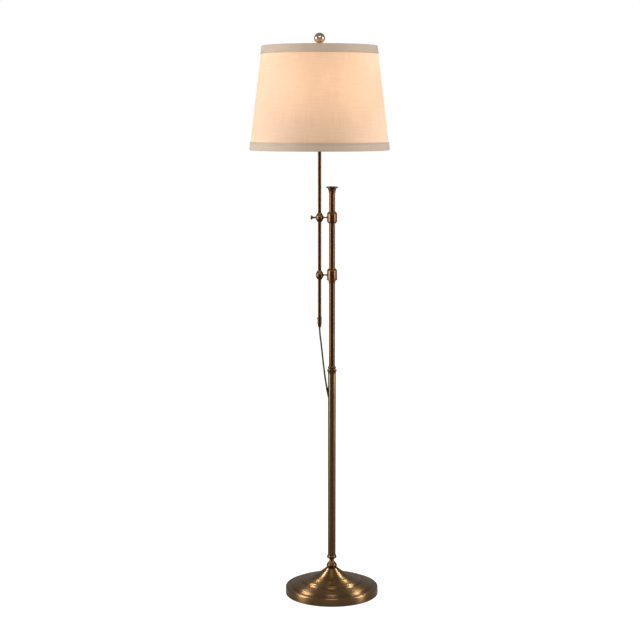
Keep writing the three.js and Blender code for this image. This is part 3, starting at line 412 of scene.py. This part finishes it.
# Pole tubes: two drawn brass tubes, the lower one thicker, squared and slightly rounded at
# their ends. The bush in the foot and the coupling between them are plain turned brass.
def tube(node, wall, body, axis, finish, name, bore=None):
    """A drawn tube in place of its CAD node, with rounded rims."""
    low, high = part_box(node)
    outer, height = (high.x - low.x) / 2 / MM, (high.z - low.z) / MM
    inner = outer - wall if bore is None else bore
    shape = turned([(inner, 0, 0.2), (outer, 0, 0.3), (outer, height, 0.3), (inner, height, 0.2)],
                   low.z, axis)
    long = [e for e in shape.edges if abs(e.verts[0].co.z - e.verts[1].co.z) > height * MM / 2]
    bmesh.ops.subdivide_edges(shape, edges=long, cuts=8)
    return place(name, shape, finish, body, node)


tube("lower_tube", 1, "root", 0.0, lower_brass, "drawn_lower_tube")
tube("upper_tube", 1, "root", 0.0, pole_brass, "drawn_upper_tube")
refinish(plain_brass, "foot_bush", "pole_coupling", "lower_bush", "clamp_pad")

# Inlet grommet: a slanting black sleeve in the tube's wall, where the lead goes into the pole.
inlet_from, inlet_to = Vector((-15.1, 0, 625.5)) * MM, Vector((-9.2, 0, 597)) * MM
lean = (inlet_to - inlet_from).to_track_quat("Z", "Y").to_matrix()
inlet = turned([(2.7, 0), (3.5, 0, 0.4), (3.6, 0.9, 0.4), (3.3, 1.4), (3.3, 28.8), (2.7, 28.8)],
               steps=32)
bmesh.ops.rotate(inlet, verts=inlet.verts, cent=(0, 0, 0), matrix=lean)
bmesh.ops.translate(inlet, verts=inlet.verts, vec=inlet_from)
place("slanting_inlet", inlet, black_rubber, "root", "inlet_grommet")

# Joint: two turned rings over the coupling, where the pole unscrews for packing.
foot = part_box("joint_ring_lower")[0].z
ring = turned([
    (5.3, 0), (11.7, 0, 0.4), (11.9, 3.6, 0.5), (12.8, 4.6, 0.5), (14.2, 6.8, 1.2), (14.2, 9.8, 1.2),
    (12.3, 11.0, 0.6), (10.4, 11.6, 0.4), (10.4, 13), (5.3, 13),
], foot)
place("turned_joint_ring", ring, pole_brass, "root", "joint_ring_lower")
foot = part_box("joint_ring_upper")[0].z
ring = turned([
    (5.3, 0), (10.4, 0), (10.7, 1.4, 0.4), (12.0, 2.6, 0.8), (12.0, 4.9, 0.8), (10.3, 6.4, 0.8),
    (9.6, 7.4, 0.4), (9.2, 9.7, 0.3), (5.3, 9.7),
], foot)
place("turned_joint_top", ring, pole_brass, "root", "joint_ring_upper")

# Pole cap: a flared solid cap with a small lip, pressed into the top of the upper tube.
low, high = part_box("pole_cap")
foot = high.z - 19.5 * MM
cap = turned([
    (0, -12), (7.4, -12, 0.4), (7.4, 0), (9.5, 0, 0.3), (9.8, 1.6, 0.4), (9.4, 2.4, 0.4),
    (9.9, 5.0, 1.2), (11.2, 10.4, 1.6), (12.2, 12.6, 0.4), (12.2, 13.9, 0.3), (16.4, 15.0, 0.6),
    (17.0, 15.8, 0.5), (17.0, 18.6, 0.5), (15.0, 19.5, 0.8), (13.4, 18.8, 0.8), (0, 19.1),
], foot)
place("flared_cap", cap, pole_brass, "root", "pole_cap")


# Collars: eight-sided brass blocks on the upper tube, flat to the front, with chamfered ends and
# a short round neck, each held by a socket screw in its back. A stop ring sits under the lower one.
FLATS = 8
TO_CORNER = 1 / math.cos(math.pi / FLATS)
TO_FLAT = math.pi / FLATS


def soften(shape, width, sharper_than=25):
    """Rounds the edges of a faceted block a little, as a casting's are after polishing."""
    least = math.radians(sharper_than)
    sharp = [e for e in shape.edges if e.is_manifold and e.calc_face_angle() > least]
    bmesh.ops.bevel(shape, geom=sharp, offset=width * MM, segments=3, profile=0.5,
                    affect="EDGES", offset_type="OFFSET", clamp_overlap=True, material=-1)
    return shape


def collar(node, name, bottom, height, chamfered_foot):
    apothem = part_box(node)[1].x / MM
    wide = apothem * TO_CORNER
    low = [(9.9, 0.2), (wide - 4.2, 0), (wide, 4.2)] if chamfered_foot else [(9.9, 0), (wide, 0)]
    block = turned([*low, (wide, height - 4.2), (wide - 4.2, height), (9.9, height - 0.2)], bottom,
                   steps=FLATS, turn=TO_FLAT)
    soften(block, 0.6)
    neck = [(9.0, height - 1), (10.3, height - 1), (10.3, height + 1.7, 0.4), (9.0, height + 1.9)]
    turned(neck, bottom, shape=block)
    if chamfered_foot:
        turned([(9.0, 1), (10.3, 1), (10.3, -1.7, 0.4), (9.0, -1.9)], bottom, shape=block)
    place(name, block, pole_brass, "root", node, crease=30)


low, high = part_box("upper_collar")
collar("upper_collar", "faceted_upper_collar", low.z + 2 * MM, (high.z - low.z) / MM - 4, True)
low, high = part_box("lower_collar")
collar("lower_collar", "faceted_lower_collar", low.z, (high.z - low.z) / MM - 2, False)

low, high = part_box("lower_stop_ring")
ring = turned([(9.0, 0), (9.6, 0, 0.3), (10.0, 4.2, 0.8), (9.7, 5.0, 0.3), (10.4, 6.2, 0.6),
               (10.4, 8.6, 0.3), (9.0, 8.7)], low.z)
place("turned_stop_ring", ring, pole_brass, "root", "lower_stop_ring")


def lay_down(shape, turn, place_at):
    """Lays an upright turned piece down along X or Y and takes it to its place."""
    bmesh.ops.rotate(shape, verts=shape.verts, cent=(0, 0, 0), matrix=turn)
    bmesh.ops.translate(shape, verts=shape.verts, vec=place_at)
    return shape


TO_POLE = Matrix.Rotation(math.radians(90), 3, "Y")
FROM_POLE = Matrix.Rotation(math.radians(-90), 3, "Y")
TO_BACK = Matrix.Rotation(math.radians(-90), 3, "X")

for node in ("collar_screw_upper", "collar_screw_lower"):
    low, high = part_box(node)
    screw = turned([(0, 0), (2, 0), (2, 4.6, 0.3), (1.1, 5.0), (0, 5.0)], steps=24)
    turned([(0, 3.6), (1.1, 3.6), (1.1, 5.05), (0, 5.05)], steps=6, shape=screw)
    lay_down(screw, TO_BACK, (0, low.y, (low.z + high.z) / 2))
    place("socket_" + node, screw, zinc, "root", node, crease=20)

# Cross bars: round brass bars that hold the clamps off the collars, with a small shoulder at
# each end.
for node, name in (("upper_bar", "shouldered_upper_bar"), ("lower_bar", "shouldered_lower_bar")):
    low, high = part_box(node)
    reach = (high.x - low.x) / MM
    bar = turned([(0, 0), (1.9, 0), (1.9, 4.0), (2.9, 4.3, 0.2), (2.9, 5.6, 0.3), (1.9, 6.4, 0.4),
                  (1.9, reach - 6.4, 0.4), (2.9, reach - 5.6, 0.3), (2.9, reach - 4.3, 0.2),
                  (1.9, reach - 4.0), (1.9, reach), (0, reach)], steps=48)
    lay_down(bar, TO_POLE, (low.x, 0, (low.z + high.z) / 2))
    place(name, bar, pole_brass, "root", node)

# Rod clamps: small eight-sided barrels, bored for the rod and tapered to both ends.
for node, name, bore in (("upper_clamp", "faceted_upper_clamp", 5.2),
                         ("lower_clamp", "faceted_lower_clamp", 6.3)):
    low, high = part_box(node)
    half = (high.z - low.z) / 2 / MM
    wide = (high.x - low.x) / 2 / MM * TO_CORNER
    barrel = turned([
        (bore, -half + 0.1), (6.9, -half), (7.3, -half + 1.6, 0.4), (wide, -4.5, 2.0),
        (wide, 4.5, 2.0), (7.3, half - 1.6, 0.4), (6.9, half), (bore, half - 0.1),
    ], (low.z + high.z) / 2, ROD_AXIS, steps=FLATS, turn=TO_FLAT)
    soften(barrel, 0.35, 30)
    place(name, barrel, head_brass, "root", node, crease=30)

# Thumb screw: a turned brass screw with a flared, knurled head, which pinches the rod through a
# loose pad.
low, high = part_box("thumb_screw")
reach = (high.x - low.x) / MM
screw = turned([
    (0, 0), (2, 0), (2, 4.5), (3.1, 5.0, 0.3), (3.3, 6.2, 0.3), (2.4, 7.2, 0.6),
    (2.3, reach - 8.5, 1.0), (4.2, reach - 4.6, 1.6), (6.5, reach - 3.3, 0.4), (6.5, reach - 0.8, 0.3),
    (5.6, reach, 0.2), (3.6, reach, 0.4), (2.8, reach - 0.7, 0.4), (0, reach - 0.7),
], steps=96)
edge = [f for f in screw.faces if math.hypot(*f.calc_center_median().xy) > 6.4 * MM
        and abs(f.normal.z) < 0.2]
valleys = [f for f in edge
           if int(math.atan2(*f.calc_center_median().xy) / math.tau * 96 + 96.5) % 3]
bmesh.ops.inset_individual(screw, faces=valleys, thickness=0.05 * MM, depth=-0.35 * MM)
lay_down(screw, FROM_POLE, (high.x, 0, (low.z + high.z) / 2))
place("knurled_thumb_screw", screw, head_brass, "screw", "thumb_screw", crease=30)

# Sliding rod: drawn brass tube with a round nose, closed at its foot by a ferrule that the lead
# comes out of. A small screw holds the ferrule.
tube("rod", 1.1, "rod", ROD_AXIS, rod_brass, "drawn_rod")
low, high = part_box("rod_ferrule")
ferrule = turned([
    (2.8, 0.2), (3.6, 0, 0.3), (4.3, 0.7, 0.3), (4.6, 3.0, 0.8), (6.2, 11.4, 2.4), (6.2, 18.0, 0.3),
    (5.9, 18.4, 0.2), (6.2, 18.8, 0.3), (6.2, 30.6, 0.7), (5.2, 31), (5.2, 9.3), (2.8, 9.2),
], low.z, ROD_AXIS)
place("turned_ferrule", ferrule, rod_brass, "rod", "rod_ferrule")
low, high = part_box("ferrule_screw")
screw = turned([(0, 0), (1.2, 0), (1.2, 1.45), (2.0, 1.45, 0.1), (2.0, 2.5, 0.5), (0, 2.9)],
               steps=32)
lay_down(screw, FROM_POLE, (high.x, 0, (low.z + high.z) / 2))
place("cheese_head_screw", screw, plain_brass, "rod", "ferrule_screw")

# Locknut and harp saddle: a hexagon brass nut on the rod's threaded end, and above it a strap
# with two upturned legs that the harp stands on.
low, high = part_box("rod_locknut")
tall = (high.z - low.z) / MM
nut = turned([(5.0, 0), (7.4, 0), (8, 0.5), (8, tall - 0.5), (7.4, tall), (5.0, tall)], low.z,
             ROD_AXIS, steps=6)
soften(nut, 0.25)
place("hexagon_locknut", nut, head_brass, "head", "rod_locknut", crease=30)

low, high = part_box("harp_saddle")
eye_hole, leg = 5.2, (high.y - low.y) / 2 - 0.75 * MM
saddle = turned([(eye_hole, 0), (11, 0, 0.3), (11, 1.5, 0.3), (eye_hole, 1.5)], low.z, ROD_AXIS)
for side in (-1, 1):
    for middle, size in (
        ((ROD_AXIS, side * (leg + 8 * MM) / 2, low.z + 0.75 * MM), (6, leg / MM - 6.5, 1.5)),
        ((ROD_AXIS, side * leg, (low.z + high.z) / 2), (6, 1.5, (high.z - low.z) / MM)),
    ):
        strap = bmesh.ops.create_cube(saddle, size=1.0, matrix=Matrix.LocRotScale(
            middle, None, Vector(size) * MM))["verts"]
        bmesh.ops.bevel(saddle, geom=[e for e in saddle.edges if e.verts[0] in strap], segments=3,
                        offset=0.35 * MM, profile=0.5, affect="EDGES", material=-1)
place("bent_saddle", saddle, head_brass, "head", "harp_saddle", crease=30)

# Socket: a brass cap and shell with rolled beads around a paper liner and a moulded phenolic
# body, which holds the screw shell, the centre contact and the turn switch with its black key.
phenolic = plain_finish("black phenolic", (0.022, 0.017, 0.013), (0.18, 0.3), depth=0.25)
fibre = plain_finish("grey insulating paper", (0.30, 0.27, 0.22), (0.85, 0.95), bump=0.00005)
low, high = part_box("socket_cap")
cap = turned([
    (5.2, 0), (8, 0, 0.8), (8.4, 3.6, 0.8), (9.4, 4.8, 0.8), (15.9, 8, 3), (17.4, 13.6, 2),
    (17.4, 17.6, 0.3), (17.9, 18.2, 0.3), (17.4, 18.8, 0.3), (17.4, 22), (16.6, 22), (16.6, 14.4, 2),
    (15, 9.2, 2), (7.4, 5), (5.2, 5),
], low.z, ROD_AXIS)
place("spun_socket_cap", cap, plain_brass, "head", "socket_cap")
low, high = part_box("socket_shell")
shell = turned([
    (16.6, 0), (17.4, 0), (18.2, 1.4, 0.6), (17.4, 2.8, 0.3), (17.4, 38.4, 0.2), (17.9, 39.2, 0.4),
    (17.4, 40.0, 0.2), (17.4, 45.8, 0.2), (18.0, 46.8, 0.4), (17.4, 47.6), (16.6, 47.6),
], low.z, ROD_AXIS)
place("spun_socket_shell", shell, plain_brass, "head", "socket_shell")
refinish(plain_brass, "screw_shell", "centre_contact")
refinish(fibre, "socket_liner")
refinish(phenolic, "socket_body", "bulb_insulator", "switch_stem")
low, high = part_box("switch_knob")
middle = Vector((0, 0, (low.z + high.z) / 2))
key = turned([(2.1, 0), (4, 0, 0.4), (4, 6.5, 0.4), (2.1, 6.5)], steps=48)
paddle = bmesh.ops.create_cube(key, size=1.0, matrix=Matrix.LocRotScale(
    (0, 0, 12.0 * MM), None, Vector((12, 5.4, 12.2)) * MM))["verts"]
bmesh.ops.bevel(key, geom=[e for e in key.edges if e.verts[0] in paddle and e.verts[1] in paddle],
                segments=5, offset=1.9 * MM, profile=0.5, affect="EDGES", material=-1)
lay_down(key, FROM_POLE, (high.x, 0, middle.z))
place("moulded_key", key, phenolic, "switch", "switch_knob")

# Harp: a bow of brass wire that stands on the saddle's legs, held by two sliding sleeves, with a
# flanged stud on top for the shade. The wire narrows to the legs and swells round the bulb.
low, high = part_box("harp_bow")
wide, rise = high.y - 1.8 * MM, high.z - low.z - 1.8 * MM
half_bow = [(leg, 0), (leg, 0.062), (wide * 0.63, 0.2), (wide * 0.945, 0.4), (wide, 0.56),
            (wide * 0.84, 0.78), (wide * 0.45, 0.955)]
bow = [(ROD_AXIS, -y, low.z + z * rise) for y, z in half_bow]
bow += [(ROD_AXIS, 0, low.z + rise)] + [(x, -y, z) for x, y, z in reversed(bow)]
place("bent_harp", wire("bent_harp", bow, 3.6 * MM), head_brass, "head", "harp_bow")
for node, body in (("harp_sleeve_front", "sleeve_front"), ("harp_sleeve_back", "sleeve_back")):
    low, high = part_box(node)
    tall = (high.z - low.z) / MM
    sleeve = turned([(3.4, 0, 0.1), (4.3, 0, 0.3), (4.3, 1.6, 0.2), (4.0, 2.0, 0.2),
                     (4.0, tall - 2.0, 0.2), (4.3, tall - 1.6, 0.2), (4.3, tall, 0.3),
                     (3.4, tall, 0.1)], steps=32)
    bmesh.ops.translate(sleeve, verts=sleeve.verts, vec=(ROD_AXIS, (low.y + high.y) / 2, low.z))
    place("rolled_" + node, sleeve, head_brass, body, node)
low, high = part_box("harp_stud")
stud = turned([(0, 0), (8, 0, 0.5), (8, 4.4, 0.5), (3.2, 4.4), (3.2, (high.z - low.z) / MM, 0.5),
               (0, (high.z - low.z) / MM)], low.z, ROD_AXIS)
place("flanged_stud", stud, head_brass, "head", "harp_stud")

# Bulb: a frosted glass globe on a zinc-plated screw cap, with its thread rolled in. It glows
# warm white, and the light itself comes from inside it.
frosted, nodes, links, shader = new_finish("frosted lit glass", (1.0, 0.9, 0.76), 0.35)
haze = use_effect(nodes, grime, Cloud_size=0.02, Speckle_size=0.001, Depth=0.06,
                  Tint=(1.0, 0.80, 0.56))
links.new(haze["Colour"], shader.inputs["Base Color"])
links.new(haze["Colour"], shader.inputs["Emission Color"])
shader.inputs["Emission Strength"].default_value = 5.0
low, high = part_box("bulb_glass")
globe = turned([
    (0, 81), (10.4, 0), (11.4, 0, 0.4), (11.8, 6, 2), (14.2, 17, 6), (22.6, 30, 8), (29.2, 42, 8),
    (30, 52, 6), (28.2, 63, 7), (22, 74, 7), (12, 80.4, 6), (0, 82),
], low.z, ROD_AXIS, steps=64)
bulb = place("frosted_globe", globe, frosted, "head", "bulb_glass")
bulb.visible_shadow = False
low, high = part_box("bulb_cap")
tall = (high.z - low.z) / MM
thread = [(12.9 if i % 2 else 12.2, 3 + 1.6 * i, 0.5) for i in range(11)]
screw_cap = turned([(11.6, 0), (12.4, 0, 0.3), *thread, (12.9, tall - 1, 0.3), (12.6, tall),
                    (11.6, tall)], low.z, ROD_AXIS, steps=64)
place("rolled_bulb_cap", screw_cap, zinc, "head", "bulb_cap")


# Shade: natural linen laminated to a stiff translucent liner, rolled into a tapered drum from one
# flat cut and joined at the back. Trim of the same linen is folded over a wire ring at each edge.
# The liner casts no shadow, so the bulb's light reaches the linen evenly.
linen_weave, n, l, given, result = new_effect(
    "linen weave", values=("Thread", "Slub length"), gives=("Threads", "Slubs"))
flat = n.new("ShaderNodeSeparateXYZ")
l.new(n.new("ShaderNodeTexCoord").outputs["UV"], flat.inputs[0])
waves, streaks = [], []
for along, over in (("X", "Y"), ("Y", "X")):
    turns = sum_up(n, l, "DIVIDE", sum_up(n, l, "MULTIPLY", flat.outputs[along], math.tau),
                   given["Thread"])
    waves.append(sum_up(n, l, "SINE", turns))
    stretched = n.new("ShaderNodeCombineXYZ")
    l.new(sum_up(n, l, "DIVIDE", flat.outputs[along], given["Slub length"]), stretched.inputs["X"])
    l.new(sum_up(n, l, "DIVIDE", flat.outputs[over], given["Thread"]), stretched.inputs["Y"])
    slub = n.new("ShaderNodeTexNoise")
    slub.inputs["Scale"].default_value = 0.5
    slub.inputs["Detail"].default_value = 3
    l.new(stretched.outputs[0], slub.inputs["Vector"])
    streaks.append(slub.outputs["Fac"])
crossed = sum_up(n, l, "ADD", sum_up(n, l, "MULTIPLY", sum_up(n, l, "MULTIPLY", *waves), 0.5), 0.5)
l.new(crossed, result["Threads"])
l.new(sum_up(n, l, "MULTIPLY", sum_up(n, l, "ADD", *streaks), 0.5), result["Slubs"])


def cloth_finish(name, pale, deep, glow, through, thread=0.0011, slub=0.03, bump=0.0002):
    """Woven cloth with slubs, whose back is lit through it."""
    finish, nodes, links, shader = new_finish(name, pale, 0.9)
    woven = use_effect(nodes, linen_weave, Thread=thread, Slub_length=slub)
    uneven = between(nodes, links, woven["Slubs"], -0.6, 1.6)
    colour = blend_colours(nodes, links, uneven, deep, pale)
    links.new(colour, shader.inputs["Base Color"])
    links.new(between(nodes, links, woven["Threads"], 0.8, 0.95), shader.inputs["Roughness"])
    height = sum_up(nodes, links, "ADD", woven["Slubs"], woven["Threads"])
    raise_surface(nodes, links, shader, height, bump)
    behind = nodes.new("ShaderNodeBsdfTranslucent")
    links.new(blend_colours(nodes, links, uneven, tuple(c * 0.82 for c in glow), glow),
              behind.inputs["Color"])
    both = nodes.new("ShaderNodeMixShader")
    both.inputs[0].default_value = through
    links.new(shader.outputs[0], both.inputs[1])
    links.new(behind.outputs[0], both.inputs[2])
    links.new(both.outputs[0], nodes["Material Output"].inputs["Surface"])
    return finish


linen = cloth_finish("natural linen", (0.70, 0.60, 0.52), (0.57, 0.47, 0.39), (0.95, 0.72, 0.54),
                     through=0.38)
trim_linen = cloth_finish("folded linen trim", (0.61, 0.50, 0.40), (0.50, 0.40, 0.32),
                          (0.5, 0.4, 0.3), through=0.04)
liner = plain_finish("translucent liner", (0.85, 0.78, 0.68), (0.4, 0.55), depth=0.05)
nodes, links = liner.node_tree.nodes, liner.node_tree.links
behind, both = nodes.new("ShaderNodeBsdfTranslucent"), nodes.new("ShaderNodeMixShader")
behind.inputs["Color"].default_value = (0.97, 0.93, 0.86, 1)
both.inputs[0].default_value = 0.9
links.new(nodes["Principled BSDF"].outputs[0], both.inputs[1])
links.new(behind.outputs[0], both.inputs[2])
links.new(both.outputs[0], nodes["Material Output"].inputs["Surface"])

low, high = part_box("bottom_trim")[0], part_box("top_trim")[1]
SHADE_FOOT, SHADE_TOP = low.z, high.z
FOOT_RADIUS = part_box("bottom_trim")[1].y
TOP_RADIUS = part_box("top_trim")[1].y


def rolled(section):
    """A flat strip rolled round the shade. Its section is depth in from the shade's outside and
    height, in metres, and its UV is the flat cut, in metres."""
    strip = bmesh.new()
    rows = len(section)
    run = [0.0]
    for (d0, z0), (d1, z1) in zip(section, section[1:]):
        run.append(run[-1] + math.hypot(d1 - d0, z1 - z0))
    around = math.tau * (FOOT_RADIUS + TOP_RADIUS) / 2
    bmesh.ops.create_grid(strip, x_segments=240, y_segments=rows - 1, size=0.5)
    flat_cut = strip.loops.layers.uv.new("flat cut")
    for face in strip.faces:
        for corner in face.loops:
            row = round((corner.vert.co.y + 0.5) * (rows - 1))
            corner[flat_cut].uv = ((corner.vert.co.x + 0.5) * around, run[row])
    for vertex in strip.verts:
        angle = math.tau * (vertex.co.x + 0.5) + math.pi / 2
        depth, height = section[round((vertex.co.y + 0.5) * (rows - 1))]
        share = (height - SHADE_FOOT) / (SHADE_TOP - SHADE_FOOT)
        radius = FOOT_RADIUS + (TOP_RADIUS - FOOT_RADIUS) * share - depth
        vertex.co = (ROD_AXIS + radius * math.cos(angle), radius * math.sin(angle), height)
    bmesh.ops.remove_doubles(strip, verts=strip.verts, dist=0.00001)
    if section[1][1] < section[0][1]:
        bmesh.ops.reverse_faces(strip, faces=strip.faces)
    return strip


def sheet_section(depth, inset, rows=24):
    """A straight section of the shade at a depth, from near its foot to near its top."""
    first, last = SHADE_FOOT + inset, SHADE_TOP - inset
    return [(depth, first + (last - first) * i / rows) for i in range(rows + 1)]


def thicken(piece, thickness):
    """Gives a rolled sheet its thickness, inwards."""
    wall = piece.modifiers.new("thickness", "SOLIDIFY")
    wall.thickness = thickness
    wall.offset = -1


cloth = place("rolled_linen", rolled(sheet_section(1.1 * MM, 1.1 * MM)), linen, "head",
              "shade_cloth")
inner = place("rolled_liner", rolled(sheet_section(2.2 * MM, 1.1 * MM)), liner, "head",
              "shade_liner")
thicken(inner, 0.9 * MM)
inner.visible_shadow = False


def trim_section(edge, up):
    """An outer leaf with two folded ridges, a turn over the wire and a short inner leaf."""
    fold = [(0.0, 24.0), (-0.35, 23.6), (-0.45, 22.8), (0.0, 22.2), (0.0, 21.4), (-0.35, 20.9),
            (0.0, 20.4), (0.0, 14.0), (0.0, 8.0), (-0.1, 2.4), (0.2, 0.8), (1.4, 0.1), (3.2, 0.0),
            (5.4, 0.1), (6.9, 0.8), (7.4, 2.4), (7.2, 6.0), (7.0, 9.0)]
    return [(depth * MM, edge - up * inwards * MM) for depth, inwards in fold]


for node, name, edge, up in (("top_trim", "folded_top_trim", SHADE_TOP, 1),
                             ("bottom_trim", "folded_bottom_trim", SHADE_FOOT, -1)):
    band = place(name, rolled(trim_section(edge, up)), trim_linen, "head", node)
    thicken(band, 0.8 * MM)

# Shade frame: a zinc-plated wire ring in each edge, and a brass spider of three cranked wires
# whose hub drops over the harp's stud.
for node, name in (("top_ring", "wire_top_ring"), ("bottom_ring", "wire_bottom_ring")):
    low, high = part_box(node)
    middle, radius = (low.z + high.z) / 2, (high.y - low.y) / 2 - 1.6 * MM
    hoop = [(ROD_AXIS + radius * math.cos(a), radius * math.sin(a), middle)
            for a in (math.tau * i / 12 for i in range(12))]
    place(name, wire(name, hoop, 3.2 * MM, steps=8, sides=2, closed=True), zinc, "head", node)
low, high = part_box("spider")
hub_z = low.z
spider = turned([(3.5, 0, 0.3), (12, 0, 0.5), (12, 2, 0.5), (3.5, 2, 0.3)], hub_z, ROD_AXIS)
end = ROD_AXIS - low.x
for i in range(3):
    out = math.pi + math.tau * i / 3
    crank = [(10.5 * MM, hub_z + MM), (26 * MM, hub_z + MM), (33 * MM, hub_z + 3.2 * MM),
             (41 * MM, high.z - 2.6 * MM), (50 * MM, high.z - 1.5 * MM), (end, high.z - 1.5 * MM)]
    arm = wire("arm", [(ROD_AXIS + r * math.cos(out), r * math.sin(out), z) for r, z in crank],
               3.0 * MM, sides=3)
    held = bpy.data.meshes.new("held")
    arm.to_mesh(held)
    arm.free()
    spider.from_mesh(held)
    bpy.data.meshes.remove(held)
place("wire_spider", spider, head_brass, "head", "spider")

# Finial: a polished ball on a turned neck, tapped for the stud.
BALL_RADIUS = 15.8
ball_metal, nodes, links, shader = new_finish("polished finial", (0.44, 0.33, 0.24), 0.16, 1.0)
dirt = use_effect(nodes, grime, Cloud_size=0.01, Speckle_size=0.0006, Depth=0.12,
                  Tint=(0.60, 0.48, 0.38))
links.new(dirt["Colour"], shader.inputs["Base Color"])
links.new(between(nodes, links, dirt["Clouds"], 0.14, 0.26), shader.inputs["Roughness"])
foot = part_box("finial")[0].z
ball_top = (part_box("finial")[1].z - foot) / MM
ball_z = ball_top - BALL_RADIUS
ball = [(BALL_RADIUS * math.cos(a), ball_z + BALL_RADIUS * math.sin(a)) for a in
        (math.radians(-66 + 6 * i) for i in range(26))]
finial = turned([
    (0, 13.4), (3.5, 13.4), (3.5, 0), (8, 0, 0.4), (8.2, 2.4, 0.8), (5.8, 4.0, 0.8), (5.6, 5.2, 0.6),
    (4.4, 7.4, 1.4), (4.4, 10.4, 1.0), (5.4, 14.2, 0.3), *ball, (0, ball_top),
], foot, ROD_AXIS)
place("ball_finial", finial, ball_metal, "finial_cap", "finial", crease=50)


# Studio: a plain floor, a soft light on each side and one above the camera, dark in front so the
# brass keeps its depth, two spots from behind that streak the base, and the bulb's warm light.
floor_paint, nodes, links, shader = new_finish("pale floor", (0.3, 0.3, 0.3), 0.9)
shine, seen, both = (nodes.new("ShaderNodeEmission"), nodes.new("ShaderNodeLightPath"),
                     nodes.new("ShaderNodeAddShader"))
shine.inputs["Color"].default_value = (1, 1, 1, 1)
links.new(sum_up(nodes, links, "MULTIPLY", seen.outputs["Is Camera Ray"], 0.93),
          shine.inputs["Strength"])
for place_in, part in enumerate((shader, shine)):
    links.new(part.outputs[0], both.inputs[place_in])
links.new(both.outputs[0], nodes["Material Output"].inputs["Surface"])
ground = bmesh.new()
bmesh.ops.create_circle(ground, cap_ends=True, segments=96, radius=40)
bmesh.ops.translate(ground, verts=ground.verts, vec=(0, 0, -0.0005))
place("floor", ground, floor_paint)

sky = bpy.data.worlds.new("studio")
sky.use_nodes = True
bpy.context.scene.world = sky
nodes, links = sky.node_tree.nodes, sky.node_tree.links
seen = nodes.new("ShaderNodeLightPath").outputs["Is Camera Ray"]
links.new(blend_colours(nodes, links, seen, (0.30, 0.285, 0.27), (1.0, 1.0, 1.0)),
          nodes["Background"].inputs["Color"])


def hang(lamp, at, towards=None):
    """Places a light, turned to face a point, and hides the light itself from the camera."""
    held = bpy.data.objects.new(lamp.name, lamp)
    held.location = at
    if towards:
        held.rotation_euler = (Vector(towards) - Vector(at)).to_track_quat("-Z", "Y").to_euler()
    held.visible_camera = False
    bpy.context.scene.collection.objects.link(held)
    return held


def soft_light(name, at, towards, size, power, colour=(1, 1, 1)):
    """A large rectangular light that faces a point."""
    lamp = bpy.data.lights.new(name, "AREA")
    lamp.shape = "RECTANGLE"
    lamp.size, lamp.size_y = size
    lamp.energy = power
    lamp.color = colour
    hang(lamp, at, towards)


soft_light("left_softbox", (-2.7, -0.6, 1.3), (0, 0, 0.9), (1.0, 2.6), 78)
soft_light("right_softbox", (2.8, -0.7, 1.3), (0, 0, 0.9), (0.7, 2.6), 68)
soft_light("top_softbox", (0, -2.2, 3.0), (0, 0, 0.3), (1.0, 0.7), 27, (1.0, 0.93, 0.82))
for side, at in (("left", (-1.5, 1.0, 2.2)), ("right", (1.4, 1.1, 2.2))):
    lamp = bpy.data.lights.new(side + "_base_spot", "SPOT")
    lamp.energy = 135
    lamp.color = (1.0, 0.90, 0.78)
    lamp.spot_size = math.radians(11)
    lamp.spot_blend = 0.6
    lamp.shadow_soft_size = 0.24
    hang(lamp, at, (0, 0, 0))

glow = bpy.data.lights.new("bulb_glow", "POINT")
glow.energy = 0.5
glow.color = (1.0, 0.74, 0.52)
glow.shadow_soft_size = 0.026
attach(hang(glow, (ROD_AXIS, 0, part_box("bulb_glass")[1].z - 0.030)), "head")

bpy.context.scene.view_settings.view_transform = "Standard"
